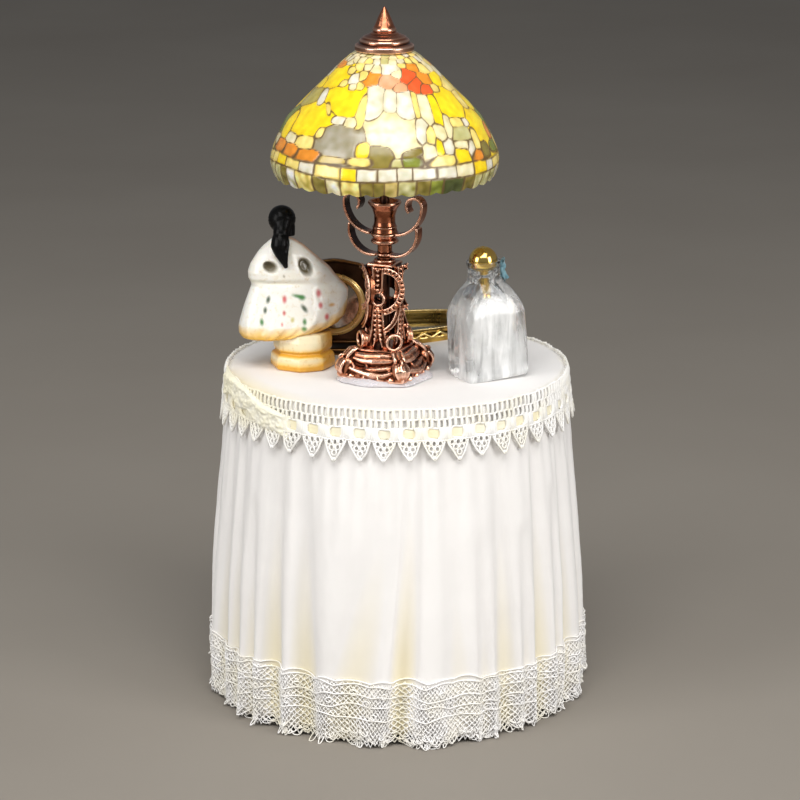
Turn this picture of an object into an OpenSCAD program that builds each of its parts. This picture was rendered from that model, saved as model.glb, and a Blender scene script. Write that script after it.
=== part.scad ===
// Miniature dressing table: a round skirted table with a lamp, a china lady, a scent bottle,
// an oval gallery tray and a small swing mirror. The origin is on the floor under the table's
// centre. +X is the user's right, -Y faces the user, +Z is up.

/* [Table] */
// Height of the cloth-covered top above the floor
table_h = 63.5; // [55:0.5:75]
// Radius of the wooden top board
board_r = 31.2; // [30.8:0.1:31.4]
// Thickness of the top board
board_t = 4; // [3:0.5:5]
// Radius of the foot board
foot_board_r = 27; // [24:0.5:29]
// Radius of the dowel that carries the top
pedestal_r = 8; // [6:0.5:10]
// Thickness of the top cloth
top_cloth_t = 0.3; // [0.2:0.05:0.4]
// Wall of the gathered skirt, folds included
skirt_wall = 1.6; // [1.2:0.1:2]
// Height of the lace trim round the top
top_lace_h = 9.6; // [8:0.2:11]
// Height of the lace edging round the hem
hem_lace_h = 13; // [10:0.5:16]

/* [Lamp] */
// Lamp axis to the right of the table's centre
lamp_x = -2.2; // [-2.6:0.1:-1.8]
// Lamp axis behind the table's centre
lamp_y = -9.5; // [-10:0.1:-9]
// Turn of the lamp about its own axis
lamp_turn = -24; // [-26:1:-22]
// Half width of the foot at the bottom
lamp_foot_half = 6.5; // [6.3:0.1:6.9]
// Radius of the lamp's rod
stem_r = 0.9; // [0.8:0.05:0.9]
// Wall of the shade
shade_wall = 0.8; // [0.7:0.1:0.9]

/* [China lady] */
// Place of the china lady on the top
lady_x = -19.9; // [-20.2:0.1:-19.7]
lady_y = -2.2; // [-2.6:0.1:-2.2]
// Turn of the china lady
lady_turn = 18; // [16:1:20]

/* [Scent bottle] */
// Place of the bottle on the top
bottle_x = 17.2; // [16.5:0.1:18]
bottle_y = -8.5; // [-9:0.1:-8]
// Turn of the bottle
bottle_turn = 27; // [24:1:29]
// Lean of the bottle to the left
bottle_lean = 3.3; // [0:0.1:4]
// Width of the bottle
bottle_w = 12.8; // [12.2:0.1:13]
// Depth of the bottle
bottle_d = 9; // [8.4:0.1:9.2]

/* [Tray] */
// Half length of the oval tray
tray_a = 17; // [16:0.5:17]
// Half width of the oval tray
tray_b = 8; // [7.5:0.5:8]
// Height of the tray's pierced rim
tray_h = 2.9; // [2.5:0.1:3.2]
// Place of the tray's centre behind the table's centre
tray_y = 21; // [20.5:0.1:21.2]
// Turn of the tray
tray_turn = 20; // [19:1:21]

/* [Swing mirror] */
// Place of the mirror on the top
mirror_x = -12; // [-12.2:0.1:-11.8]
mirror_y = 8.3; // [8.2:0.1:8.4]
// Height of the pivots above the table top
pivot_h = 9.5; // [9.3:0.1:9.8]
// Half width of the mirror's plate
plate_half = 8.6; // [8.4:0.1:8.7]
// Radius of the gilt ring
bezel_r = 5.7; // [5.5:0.1:5.8]

/* [Hidden] */

$fn = 64;
fit_gap = 0.05;      // running clearance of a pin in its bore
glue_gap = 0.02;     // clearance of a screw or a rod in a fixed bore
eps = 0.01;

board_top = table_h - top_cloth_t;
board_bottom = board_top - board_t;
foot_board_t = 4;
screw_head_r = 2.2;
screw_head_t = 1.4;
screw_r = 1;
screw_l = 15;
hem_z = 0.2;         // the cloth hangs just clear of the floor
lace_t = 0.4;
ribbon_t = 0.2;
ribbon_w = 2.4;
ribbon_drop = 3.7;   // from the lace's top edge to the ribbon's top edge
lace_stand = 0.3;    // how far the lace stands above the top

// Lamp heights above the table top
wax_t = 0.8;
lamp_foot_top = 6;
column_top = 21.9;
column_cap_t = 0.6;
neck_top = 26.6;
neck_r = 1.35;
scroll_w = 2.4;
scroll_t = 0.5;
vase_top = 33.3;
shade_rim = 38.1;
shade_top = 61.2;
shade_hole_r = 1.2;
cap_top = 64.4;
stem_top = 66;

// China lady heights above the table top
plinth_h = 6.7;
gown_top = 16;
mantle_top = 24.6;
hair_z = 29.2;
hair_r = 2.55;
head_r = 2.15;

// Bottle heights above the table top
bottle_neck_r = 3.1;
bottle_shoulder = 18.1;
bottle_lip = 21.9;
bead_r = 2.65;
bead_z = 21.9;
pin_r = 0.9;
pin_bottom = 14.5;

plate_t = 1.2;
mirror_pin_r = 0.4;

// ---------- helpers ----------

module on_top(x, y, turn = 0) {
    translate([x, y, table_h])
        rotate([0, 0, turn])
            children();
}

module at_lamp() { on_top(lamp_x, lamp_y, lamp_turn) children(); }
module at_lady() { on_top(lady_x, lady_y, lady_turn) children(); }
module at_bottle() { on_top(bottle_x, bottle_y) rotate([0, -bottle_lean, 0]) rotate([0, 0, bottle_turn]) children(); }
module at_tray() { on_top(0, tray_y, tray_turn) children(); }
module at_mirror() { on_top(mirror_x, mirror_y) children(); }

// A solid of revolution from [radius, height] points
module turned(profile) { rotate_extrude() polygon(profile); }

// An outline in the XZ plane given a depth along Y, centred on Y = 0
module standing(depth) {
    rotate([90, 0, 0])
        linear_extrude(height = depth, center = true)
            children();
}

// Four copies about Z
module four(start = 0) {
    for (i = [0:3])
        rotate([0, 0, start + 90 * i])
            children();
}

// A flat strap bent to an arc in the XZ plane
module strap_arc(x, z, r, from, to, t = scroll_t, w = scroll_w) {
    translate([x, 0, z])
        rotate([90, 0, 0])
            rotate([0, 0, from])
                rotate_extrude(angle = to - from)
                    translate([r - t / 2, -w / 2])
                        square([t, w]);
}

// Points of an ellipse
function oval(a, b, count = 72) = [for (i = [0:count - 1]) [a * cos(360 * i / count), b * sin(360 * i / count)]];

module rounded_rect(w, d, r) {
    for (turn = [0, 1])
        square([w - (turn == 0 ? 0 : 2 * r), d - (turn == 0 ? 2 * r : 0)], center = true);
    for (x = [-1, 1], y = [-1, 1])
        translate([x * (w / 2 - r), y * (d / 2 - r)])
            circle(r);
}

// ---------- table ----------

module countersunk(z, up) {
    translate([0, 0, z])
        mirror([0, 0, up ? 0 : 1])
            translate([0, 0, -screw_head_t])
                cylinder(r1 = screw_r, r2 = screw_head_r, h = screw_head_t);
}

module board_screw(z, up) {
    countersunk(z, up);
    translate([0, 0, up ? z - screw_l : z])
        cylinder(r = screw_r, h = screw_l);
}

module foot_board() {
    color("burlywood")
        difference() {
            cylinder(r = foot_board_r, h = foot_board_t);
            translate([0, 0, -1])
                cylinder(r = screw_r + glue_gap, h = foot_board_t + 2);
            countersunk(0, false);
        }
}

module pedestal() {
    color("tan")
        difference() {
            translate([0, 0, foot_board_t])
                cylinder(r = pedestal_r, h = board_bottom - foot_board_t);
            translate([0, 0, foot_board_t - 1])
                cylinder(r = screw_r + glue_gap, h = screw_l - foot_board_t + 1);
            translate([0, 0, board_top - screw_l])
                cylinder(r = screw_r + glue_gap, h = screw_l);
        }
}

module top_board() {
    color("burlywood")
        difference() {
            translate([0, 0, board_bottom])
                cylinder(r = board_r, h = board_t);
            translate([0, 0, board_bottom - 1])
                cylinder(r = screw_r + glue_gap, h = board_t + 2);
            countersunk(board_top, true);
        }
}

module board_screws() {
    color("silver") {
        board_screw(0, false);
        board_screw(board_top, true);
    }
}

module top_cloth() {
    color("white")
        translate([0, 0, board_top])
            cylinder(r = skirt_top_r, h = top_cloth_t, $fn = 96);
}

// Outer line of the skirt, from the top edge of the board to the floor
skirt_top_r = 31.9;
skirt_line = [[skirt_top_r, board_top], [32.5, 54], [34, 40], [35.3, 25], [36.3, 10], [36.4, hem_z]];

// Radius of the skirt's outer line at a height
function skirt_r(z, i = 0) =
    i >= len(skirt_line) - 2 || z >= skirt_line[i + 1][1]
        ? skirt_line[i][0] + (skirt_line[i + 1][0] - skirt_line[i][0])
            * (skirt_line[i][1] - z) / (skirt_line[i][1] - skirt_line[i + 1][1])
        : skirt_r(z, i + 1);

// A band that lies on the skirt between two heights, from one standoff to another
module band(low, high, inner, outer, from = 0, sweep = 360) {
    bends = [for (p = skirt_line) if (p[1] > low && p[1] < high) p[1]];
    heights = concat([high], bends, [low]);
    last = len(heights) - 1;
    rotate([0, 0, from])
        rotate_extrude(angle = sweep, $fn = 96)
            polygon(concat(
                [for (z = heights) [skirt_r(z) + outer, z]],
                [for (i = [0:last]) [skirt_r(heights[last - i]) + inner, heights[last - i]]]));
}

module skirt() {
    under_board = board_bottom - 1;
    color("snow")
        rotate_extrude($fn = 96)
            polygon(concat(
                skirt_line,
                [for (z = [hem_z, 10, 25, 40]) [skirt_r(z) - skirt_wall, z]],
                [[board_r - 0.6, under_board], [board_r, board_bottom], [board_r, board_top]]));
}

lace_top = table_h + lace_stand;
module top_lace() {
    color("ivory")
        band(lace_top - top_lace_h, lace_top, ribbon_t, ribbon_t + lace_t);
}

module lace_ribbon() {
    top = lace_top - ribbon_drop;
    color("lemonchiffon")
        band(top - ribbon_w, top, 0, ribbon_t);
}

module lace_overlap() {
    base = ribbon_t + lace_t;
    color("wheat")
        band(lace_top - 8.5, lace_top, base, base + 0.7, 188, 46);
}

module hem_lace() {
    color("white")
        band(hem_z, hem_lace_h, 0, lace_t);
}

// ---------- lamp ----------

module lamp_wax() {
    color([0.9, 0.88, 0.85, 0.6])
        at_lamp()
            cylinder(r = 9.1, h = wax_t);
}

// Flared side of the foot: half width, height
foot_flare = [
    [lamp_foot_half, wax_t], [lamp_foot_half + 0.3, 1.5], [6.3, 2.5], [5.6, 3.1],
    [5.3, 4.3], [4.5, 5.1], [4.1, lamp_foot_top]
];

module foot_side() {
    last = len(foot_flare) - 1;
    polygon(concat(foot_flare, [for (i = [0:last]) [-foot_flare[last - i][0], foot_flare[last - i][1]]]));
}

module lamp_foot() {
    shell_r = 1.5;
    color("sienna")
        at_lamp()
            difference() {
                union() {
                    intersection() {
                        standing(30) foot_side();
                        rotate([0, 0, 90]) standing(30) foot_side();
                    }
                    four(45)
                        translate([lamp_foot_half * 1.15, 0, wax_t]) {
                            cylinder(r = shell_r, h = 2.6);
                            translate([0, 0, 2.6])
                                sphere(r = shell_r);
                        }
                }
                translate([0, 0, 3])
                    cylinder(r = stem_r + glue_gap, h = 10);
            }
}

// Ladder strap in its own plane: x from the middle, y is the height
module ladder_outline() {
    eyelet_z = 15.5;
    difference() {
        union() {
            polygon([
                [-1.1, column_top - column_cap_t], [-0.95, 12.6], [-1.2, 9], [-2.1, lamp_foot_top],
                [-1, lamp_foot_top], [0, 7.8], [1, lamp_foot_top], [2.1, lamp_foot_top],
                [1.2, 9], [0.95, 12.6], [1.1, column_top - column_cap_t]
            ]);
            translate([0, eyelet_z])
                circle(r = 1.5);
        }
        translate([0, eyelet_z])
            circle(r = 0.9);
    }
}

module lamp_column() {
    strap_y = 2.75;
    cap_half = 2.5;
    harp_out = 3.3;
    ring_out = 4.4;
    color("peru")
        at_lamp() {
            four()
                translate([0, -strap_y, 0])
                    standing(0.7) ladder_outline();
            four(45) {
                translate([harp_out, 0, 0])
                    rotate([0, 0, 90]) {
                        strap_arc(-2, 17.2, 3.9, -83, 83, 0.6, 1.2);
                        strap_arc(-3.6, 14, 4.75, -64, 8, 0.6, 1.2);
                    }
                translate([ring_out, 0, 0])
                    rotate([0, 0, 90])
                        strap_arc(0, 7.66, 1.4, 0, 360, 0.5, 1);
            }
            difference() {
                translate([-cap_half, -cap_half, column_top - column_cap_t])
                    cube([2 * cap_half, 2 * cap_half, column_cap_t]);
                translate([0, 0, column_top - 5])
                    cylinder(r = stem_r + glue_gap, h = 10);
            }
        }
}

module lamp_neck() {
    ring_h = 1.2;
    color("peru")
        at_lamp()
            difference() {
                union() {
                    translate([0, 0, column_top])
                        cylinder(r = neck_r, h = neck_top - ring_h - column_top);
                    translate([0, 0, neck_top - ring_h])
                        cylinder(r = 2.1, h = ring_h);
                }
                translate([0, 0, column_top - 1])
                    cylinder(r = stem_r + glue_gap, h = 10);
            }
}

module lamp_lower_scrolls() {
    color("chocolate")
        at_lamp()
            for (turn = [0, 180])
                rotate([0, 0, turn])
                    strap_arc(2.2, 27.8, 4.6, -100, 13);
}

module lamp_upper_scrolls() {
    color("chocolate")
        at_lamp()
            for (turn = [0, 180])
                rotate([0, 0, turn]) {
                    strap_arc(2.2, 32.8, 5.6, -86, 0);
                    strap_arc(6.25, 32.8, 1.55, 0, 230);
                }
}

module lamp_vase() {
    bore = stem_r + glue_gap;
    color("peru")
        at_lamp()
            turned([
                [bore, neck_top], [2.35, neck_top], [2.4, 27.4], [2.2, 28.2], [1.95, 29.4], [1.95, 30.6],
                [2.3, 31.8], [3, 32.8], [3.05, vase_top], [2.6, vase_top], [2, 32.4], [bore, 32]
            ]);
}

module lamp_stem() {
    color("saddlebrown")
        at_lamp()
            translate([0, 0, 3])
                cylinder(r = stem_r, h = stem_top - 3);
}

module shade_seat() {
    seat_r = 3.3;
    color("goldenrod")
        at_lamp()
            translate([0, 0, shade_top - shade_wall - 0.75])
                difference() {
                    cylinder(r = seat_r, h = 0.7);
                    translate([0, 0, -1])
                        cylinder(r = stem_r + glue_gap, h = 3);
                }
}

// Outer line of the shade, rim to top
shade_line = [
    [20, shade_rim], [20.6, 39.6], [20.9, 41.2], [20.6, 42.8], [19.5, 45.6], [17.9, 48.7],
    [15.1, 51.7], [11.5, 55.2], [8.65, 58.2], [5.9, 60.6], [4.6, 61], [3.4, shade_top]
];
// Inner line, top to rim
shade_lining = [
    [3.3, shade_top - shade_wall], [4.2, 60.2], [5.3, 59.7], [8, 57.3], [10.9, 54.5], [14.5, 51.1],
    [17.2, 48.2], [18.8, 45.2], [19.8, 42.6], [20.1, 41.2], [19.8, 39.7], [19.3, shade_rim]
];

module shade() {
    color("gold")
        at_lamp()
            turned(concat(
                shade_line,
                [[shade_hole_r, shade_top], [shade_hole_r, shade_top - shade_wall]],
                shade_lining));
}

module finial_cap() {
    bore = stem_r + fit_gap;
    seat = shade_top + 0.02;
    color("sienna")
        at_lamp()
            turned([
                [bore, seat], [3.5, seat], [4.9, 61.02], [5.15, 60.92], [5.35, 61.05], [5.3, 62.1],
                [4.7, 62.4], [4.5, 62.6], [4.4, 62.9], [4, 63.3], [3.1, 63.8], [2.3, 64.2], [2.1, cap_top], [bore, cap_top]
            ]);
}

module finial_cone() {
    bore = stem_r + fit_gap;
    bore_top = stem_top + 0.1;
    color("peru")
        at_lamp()
            turned([
                [bore, cap_top], [2.05, cap_top], [2.12, 64.8], [1.95, 65.3], [1.85, 65.5],
                [0.95, 67.4], [0.15, 68.9], [0, 68.9], [0, bore_top], [bore, bore_top]
            ]);
}

// ---------- china lady ----------

module figurine_plinth() {
    color("goldenrod")
        at_lady()
            translate([2.3, 0, 0])
                rotate([0, 0, 22.5]) {
                    cylinder(r = 5.8, h = 2.9, $fn = 8);
                    translate([0, 0, 2.9])
                        cylinder(r = 5.2, h = 0.6, $fn = 8);
                    translate([0, 0, 3.5])
                        cylinder(r = 5.4, h = plinth_h - 3.5, $fn = 8);
                }
}

// A flat slab with round ends, centred on x, for blending with hull()
module slab(x, z, half_w, r, h = 0.4) {
    for (side = [-1, 1])
        translate([x + side * (half_w - r), 0, z])
            cylinder(r = r, h = h, $fn = 32);
}

module figurine_gown() {
    color("ivory")
        at_lady()
            hull() {
                slab(-0.2, plinth_h, 9.2, 4.2);
                slab(0.2, plinth_h + 1.5, 10, 4.8);
                slab(0.6, gown_top - 0.4, 8.2, 3.6);
            }
}

module figurine_mantle() {
    hole_r = 1.3;
    color("ivory")
        at_lady()
            difference() {
                hull() {
                    slab(0.6, gown_top, 8.3, 3.4);
                    slab(-0.6, 18.8, 7.6, 3);
                    slab(-1.6, mantle_top - 0.4, 2.8, 1.7);
                }
                for (x = [-4.8, 2.6])
                    translate([x, 10, 19.6])
                        rotate([90, 0, 0])
                            cylinder(r = hole_r, h = 20, $fn = 32);
            }
}

module figurine_head() {
    color("linen")
        at_lady()
            translate([-1.6, 0, 0]) {
                translate([0, 0, mantle_top])
                    cylinder(r = 0.9, h = hair_z - mantle_top - 1);
                translate([0, 0.5, hair_z - 0.2])
                    sphere(r = head_r);
            }
}

module figurine_hair() {
    face_y = 0.6;
    color([0.05, 0.05, 0.06])
        at_lady()
            translate([-1.6, 0, 0])
                difference() {
                    union() {
                        translate([0, -0.2, hair_z])
                            sphere(r = hair_r);
                        translate([0, -2, 23.6])
                            cylinder(r1 = 1.5, r2 = 1.2, h = 4.2);
                        translate([0, -2, 20.4])
                            cylinder(r1 = 0.2, r2 = 1.5, h = 3.2);
                    }
                    translate([0, 0.5, hair_z - 0.2])
                        sphere(r = head_r + eps);
                    translate([0, 0, mantle_top])
                        cylinder(r = 0.9 + eps, h = 5);
                    translate([-5, face_y, 20])
                        cube([10, 10, 15]);
                    translate([1.6, 0, 0])
                        hull() {
                            slab(-0.6, 18.8, 7.6, 3);
                            slab(-1.6, mantle_top - 0.4, 2.8, 1.7);
                        }
                }
}

// ---------- scent bottle ----------

// Half of the bottle's outline for a half width, shoulder to neck
function shoulder(half) = [
    [half - 0.3, -0.6], [half, 0.4], [half, 12.8], [half - 0.5, 14.8], [half * 0.72, 16.8],
    [bottle_neck_r, bottle_shoulder]
];

module bottle_outline(half) {
    points = shoulder(half);
    last = len(points) - 1;
    polygon(concat(points, [for (i = [0:last]) [-points[last - i][0], points[last - i][1]]]));
}

module bottle_glass() {
    mouth_r = 2.85;
    bore = pin_r + fit_gap;
    color([0.85, 0.92, 0.95, 0.5])
        difference() {
            at_bottle()
                difference() {
                    union() {
                        intersection() {
                            translate([0, 0, -1])
                                linear_extrude(height = 20)
                                    rounded_rect(bottle_w, bottle_d, 1);
                            standing(20) bottle_outline(bottle_w / 2);
                            rotate([0, 0, 90])
                                standing(20) bottle_outline(bottle_d / 2);
                        }
                        translate([0, 0, bottle_shoulder])
                            cylinder(r = bottle_neck_r, h = bottle_lip - bottle_shoulder);
                    }
                    translate([0, 0, bead_z])
                        sphere(r = mouth_r);
                    translate([0, 0, pin_bottom - 0.5])
                        cylinder(r = bore, h = 20);
                }
            // the base is ground flat to stand on the top
            on_top(bottle_x, bottle_y)
                translate([-20, -20, -10])
                    cube([40, 40, 10]);
        }
}

module stopper_bead() {
    color("gold")
        at_bottle()
            difference() {
                translate([0, 0, bead_z])
                    sphere(r = bead_r);
                translate([0, 0, bead_z - bead_r - 1])
                    cylinder(r = pin_r + glue_gap, h = 2);
            }
}

module stopper_pin() {
    color("goldenrod")
        at_bottle()
            translate([0, 0, pin_bottom])
                cylinder(r = pin_r, h = bead_z - bead_r + 0.9 - pin_bottom);
}

module neck_ribbon() {
    tie_z = 19.6;
    color("lightblue")
        at_bottle()
            translate([0, 0, tie_z])
                rotate([0, 0, -4]) {
                    rotate([0, 0, -15])
                        rotate_extrude(angle = 150)
                            translate([bottle_neck_r + eps, -0.3])
                                square([0.35, 0.6]);
                    translate([bottle_neck_r + 0.2, -0.5, -0.5])
                        cube([1.1, 1, 1]);
                    for (side = [-1, 1])
                        translate([bottle_neck_r + 0.85, 0, side * 1.05])
                            rotate([0, 90, 0])
                                difference() {
                                    cylinder(r = 0.9, h = 0.8, center = true, $fn = 32);
                                    cylinder(r = 0.6, h = 2, center = true, $fn = 32);
                                }
                }
}

// ---------- oval tray ----------

plate_h = 0.8;
rim_t = 0.7;

module tray_plate() {
    color("darkgoldenrod")
        at_tray()
            linear_extrude(height = plate_h)
                polygon(oval(tray_a, tray_b));
}

module tray_mirror() {
    color([0.3, 0.33, 0.36])
        at_tray()
            translate([0, 0, plate_h])
                linear_extrude(height = 0.3)
                    polygon(oval(tray_a - rim_t - 0.1, tray_b - rim_t - 0.1));
}

module tray_gallery() {
    piercings = 24;
    color("gold")
        at_tray()
            difference() {
                translate([0, 0, plate_h])
                    linear_extrude(height = tray_h - plate_h)
                        difference() {
                            polygon(oval(tray_a, tray_b));
                            polygon(oval(tray_a - rim_t, tray_b - rim_t));
                        }
                for (i = [0:piercings - 1]) {
                    t = 360 * (i + 0.5) / piercings;
                    translate([tray_a * cos(t), tray_b * sin(t), plate_h + 1.1])
                        rotate([0, 0, atan2(tray_a * sin(t), tray_b * cos(t))])
                            rotate([0, 90, 0])
                                cylinder(r = 0.5, h = 4, center = true, $fn = 24);
                }
            }
}

// ---------- swing mirror ----------

post_x = 9.5;
post_half = 0.65;

module mirror_stand() {
    base_t = 1.2;
    color("saddlebrown")
        at_mirror()
            difference() {
                union() {
                    linear_extrude(height = base_t)
                        rounded_rect(20.4, 5.6, 1.2);
                    for (side = [-1, 1]) {
                        translate([side * post_x - post_half, -post_half, base_t])
                            cube([2 * post_half, 2 * post_half, pivot_h + 1.8 - base_t]);
                        translate([side * post_x, 0, pivot_h + 2.3])
                            sphere(r = 0.8);
                    }
                }
                translate([-15, 0, pivot_h])
                    rotate([0, 90, 0])
                        cylinder(r = mirror_pin_r + glue_gap, h = 30);
            }
}

module mirror_pivots() {
    pin_l = 2.6;
    color("gold")
        at_mirror()
            for (side = [0, 180])
                rotate([0, 0, side])
                    translate([post_x - 1.9, 0, pivot_h])
                        rotate([0, 90, 0]) {
                            cylinder(r = mirror_pin_r, h = pin_l);
                            translate([0, 0, pin_l])
                                cylinder(r = 0.8, h = 0.5);
                        }
}

// Plate outline about the pivot line: square shoulders with a shallow arch between them
module plate_outline() {
    intersection() {
        translate([0, 0.6])
            rounded_rect(2 * plate_half, 16.4, 1.6);
        union() {
            translate([-plate_half, -7.6])
                square([2 * plate_half, 14.8]);
            translate([0, -0.2])
                circle(r = 9);
        }
    }
}

module mirror_frame() {
    color([0.35, 0.2, 0.1])
        at_mirror()
            translate([0, 0, pivot_h])
                difference() {
                    standing(plate_t) plate_outline();
                    rotate([90, 0, 0])
                        cylinder(r = 5, h = 5, center = true);
                    for (side = [-1, 1])
                        translate([side * (plate_half - 0.7), 0, 0])
                            rotate([0, 90, 0])
                                cylinder(r = mirror_pin_r + fit_gap, h = 2, center = true);
                }
}

module mirror_bezel() {
    color("gold")
        at_mirror()
            translate([0, -plate_t / 2, pivot_h])
                rotate([90, 0, 0])
                    turned([[4.7, 0], [bezel_r, 0], [bezel_r, 0.3], [bezel_r - 0.4, 0.6], [4.9, 0.5], [4.7, 0.3]]);
}

module mirror_glass() {
    color([0.3, 0.33, 0.36])
        at_mirror()
            translate([0, -plate_t / 2 + 0.5, pivot_h])
                rotate([90, 0, 0])
                    cylinder(r = 5 - eps, h = 0.5);
}

module mirror_back() {
    color("dimgray")
        at_mirror()
            translate([0, plate_t / 2 + 0.5, pivot_h])
                rotate([90, 0, 0])
                    cylinder(r = 6.2, h = 0.5);
}

// ---------- assembly ----------

foot_board();
pedestal();
top_board();
board_screws();
top_cloth();
skirt();
top_lace();
lace_ribbon();
lace_overlap();
hem_lace();
lamp_wax();
lamp_foot();
lamp_column();
lamp_neck();
lamp_lower_scrolls();
lamp_upper_scrolls();
lamp_vase();
lamp_stem();
shade_seat();
shade();
finial_cap();
finial_cone();
figurine_plinth();
figurine_gown();
figurine_mantle();
figurine_head();
figurine_hair();
bottle_glass();
stopper_bead();
stopper_pin();
neck_ribbon();
tray_plate();
tray_mirror();
tray_gallery();
mirror_stand();
mirror_pivots();
mirror_frame();
mirror_bezel();
mirror_glass();
mirror_back();
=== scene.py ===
# Miniature round dressing table with a skirt, a lamp, a china lady, a scent bottle, a tray and a mirror.
# The sections follow the order in which the piece is put together. Lengths are in millimetres, times mm.
import math

import bpy
import numpy as np
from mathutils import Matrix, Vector, noise


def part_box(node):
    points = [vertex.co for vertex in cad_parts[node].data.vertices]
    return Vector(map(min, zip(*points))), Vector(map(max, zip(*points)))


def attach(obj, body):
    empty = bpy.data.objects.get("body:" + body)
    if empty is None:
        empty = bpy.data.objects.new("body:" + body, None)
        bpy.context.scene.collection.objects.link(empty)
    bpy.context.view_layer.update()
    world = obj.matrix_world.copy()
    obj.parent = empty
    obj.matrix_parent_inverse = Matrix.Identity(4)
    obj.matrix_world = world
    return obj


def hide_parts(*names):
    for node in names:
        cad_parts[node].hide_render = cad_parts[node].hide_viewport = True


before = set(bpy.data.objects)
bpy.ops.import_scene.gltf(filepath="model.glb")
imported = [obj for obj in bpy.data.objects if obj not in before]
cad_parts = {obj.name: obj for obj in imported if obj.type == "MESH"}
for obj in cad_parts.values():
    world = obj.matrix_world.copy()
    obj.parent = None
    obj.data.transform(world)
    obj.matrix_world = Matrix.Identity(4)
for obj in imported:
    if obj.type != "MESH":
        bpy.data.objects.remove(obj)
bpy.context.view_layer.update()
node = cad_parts
mm = 0.001
bpy.ops.object.select_all(action="DESELECT")

# ---------------------------------------------------------------- camera, floor and studio lights
# The table stands on a sheet of warm grey paper that runs far back, so that it darkens away from the lamps.
# One large soft box hangs over the front, and a tall one stands at each side.
camera_distance, camera_height = 0.5511, math.radians(15.9)
aim = Vector((0.0006, 0, 0.0562))
bpy.ops.object.camera_add(
    location=aim + camera_distance * Vector((0, -math.cos(camera_height), math.sin(camera_height))),
    rotation=(math.pi / 2 - camera_height, 0, 0),
)
camera = bpy.context.object
camera.data.lens = 130.65
camera.data.clip_start = 0.02
bpy.context.scene.camera = camera
bpy.context.scene.view_settings.view_transform = "Standard"


def softbox(name, place, size, watts, colour, target=(0, 0, 0.05)):
    bpy.ops.object.light_add(type="AREA", location=place)
    lamp = bpy.context.object
    lamp.name = name
    lamp.rotation_euler = (Vector(target) - Vector(place)).to_track_quat("-Z", "Y").to_euler()
    lamp.data.shape = "RECTANGLE"
    lamp.data.size, lamp.data.size_y = size
    lamp.data.energy = watts
    lamp.data.color = colour


softbox("overhead_softbox", (0.0, -0.34, 0.54), (0.5, 0.36), 3.1, (1, 0.985, 0.965))
softbox("left_softbox", (-0.52, -0.36, 0.26), (0.26, 0.42), 1.75, (1, 0.99, 0.98))
softbox("right_softbox", (0.54, -0.4, 0.26), (0.26, 0.42), 2.35, (1, 0.985, 0.97))

sky = bpy.data.worlds.new("studio_room")
bpy.context.scene.world = sky
sky.use_nodes = True
sky.node_tree.nodes["Background"].inputs["Color"].default_value = (0.92, 0.95, 1, 1)
sky.node_tree.nodes["Background"].inputs["Strength"].default_value = 0.2

paper = bpy.data.materials.new("studio_paper")
paper.use_nodes = True
tree = paper.node_tree
gloss = tree.nodes["Principled BSDF"]
gloss.label, gloss.location = "matt paper", (300, 0)
gloss.inputs["Roughness"].default_value = 0.85
gloss.inputs["Specular IOR Level"].default_value = 0.2
place = tree.nodes.new("ShaderNodeTexCoord")
place.label, place.location = "place on the floor", (-700, 0)
mottle = tree.nodes.new("ShaderNodeTexNoise")
mottle.label, mottle.location = "faint mottling of the paper", (-460, 0)
mottle.inputs["Scale"].default_value = 9
mottle.inputs["Detail"].default_value = 4
tone = tree.nodes.new("ShaderNodeValToRGB")
tone.label, tone.location = "warm grey", (-220, 0)
tone.color_ramp.elements[0].position, tone.color_ramp.elements[0].color = 0.3, (0.262, 0.236, 0.203, 1)
tone.color_ramp.elements[1].position, tone.color_ramp.elements[1].color = 0.7, (0.284, 0.258, 0.223, 1)
tree.links.new(place.outputs["Object"], mottle.inputs["Vector"])
tree.links.new(mottle.outputs["Fac"], tone.inputs["Fac"])
tree.links.new(tone.outputs["Color"], gloss.inputs["Base Color"])
bpy.ops.mesh.primitive_circle_add(vertices=96, radius=2.4, fill_type="NGON")
floor = bpy.context.object
floor.name = "studio_floor"
floor.data.materials.append(paper)

# ---------------------------------------------------------------- wooden core
# Two round discs of birch ply with a turned dowel between them, and a countersunk screw through each disc.
# The cloth hides them: the designed solids stay and take the wood and the steel.


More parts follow.
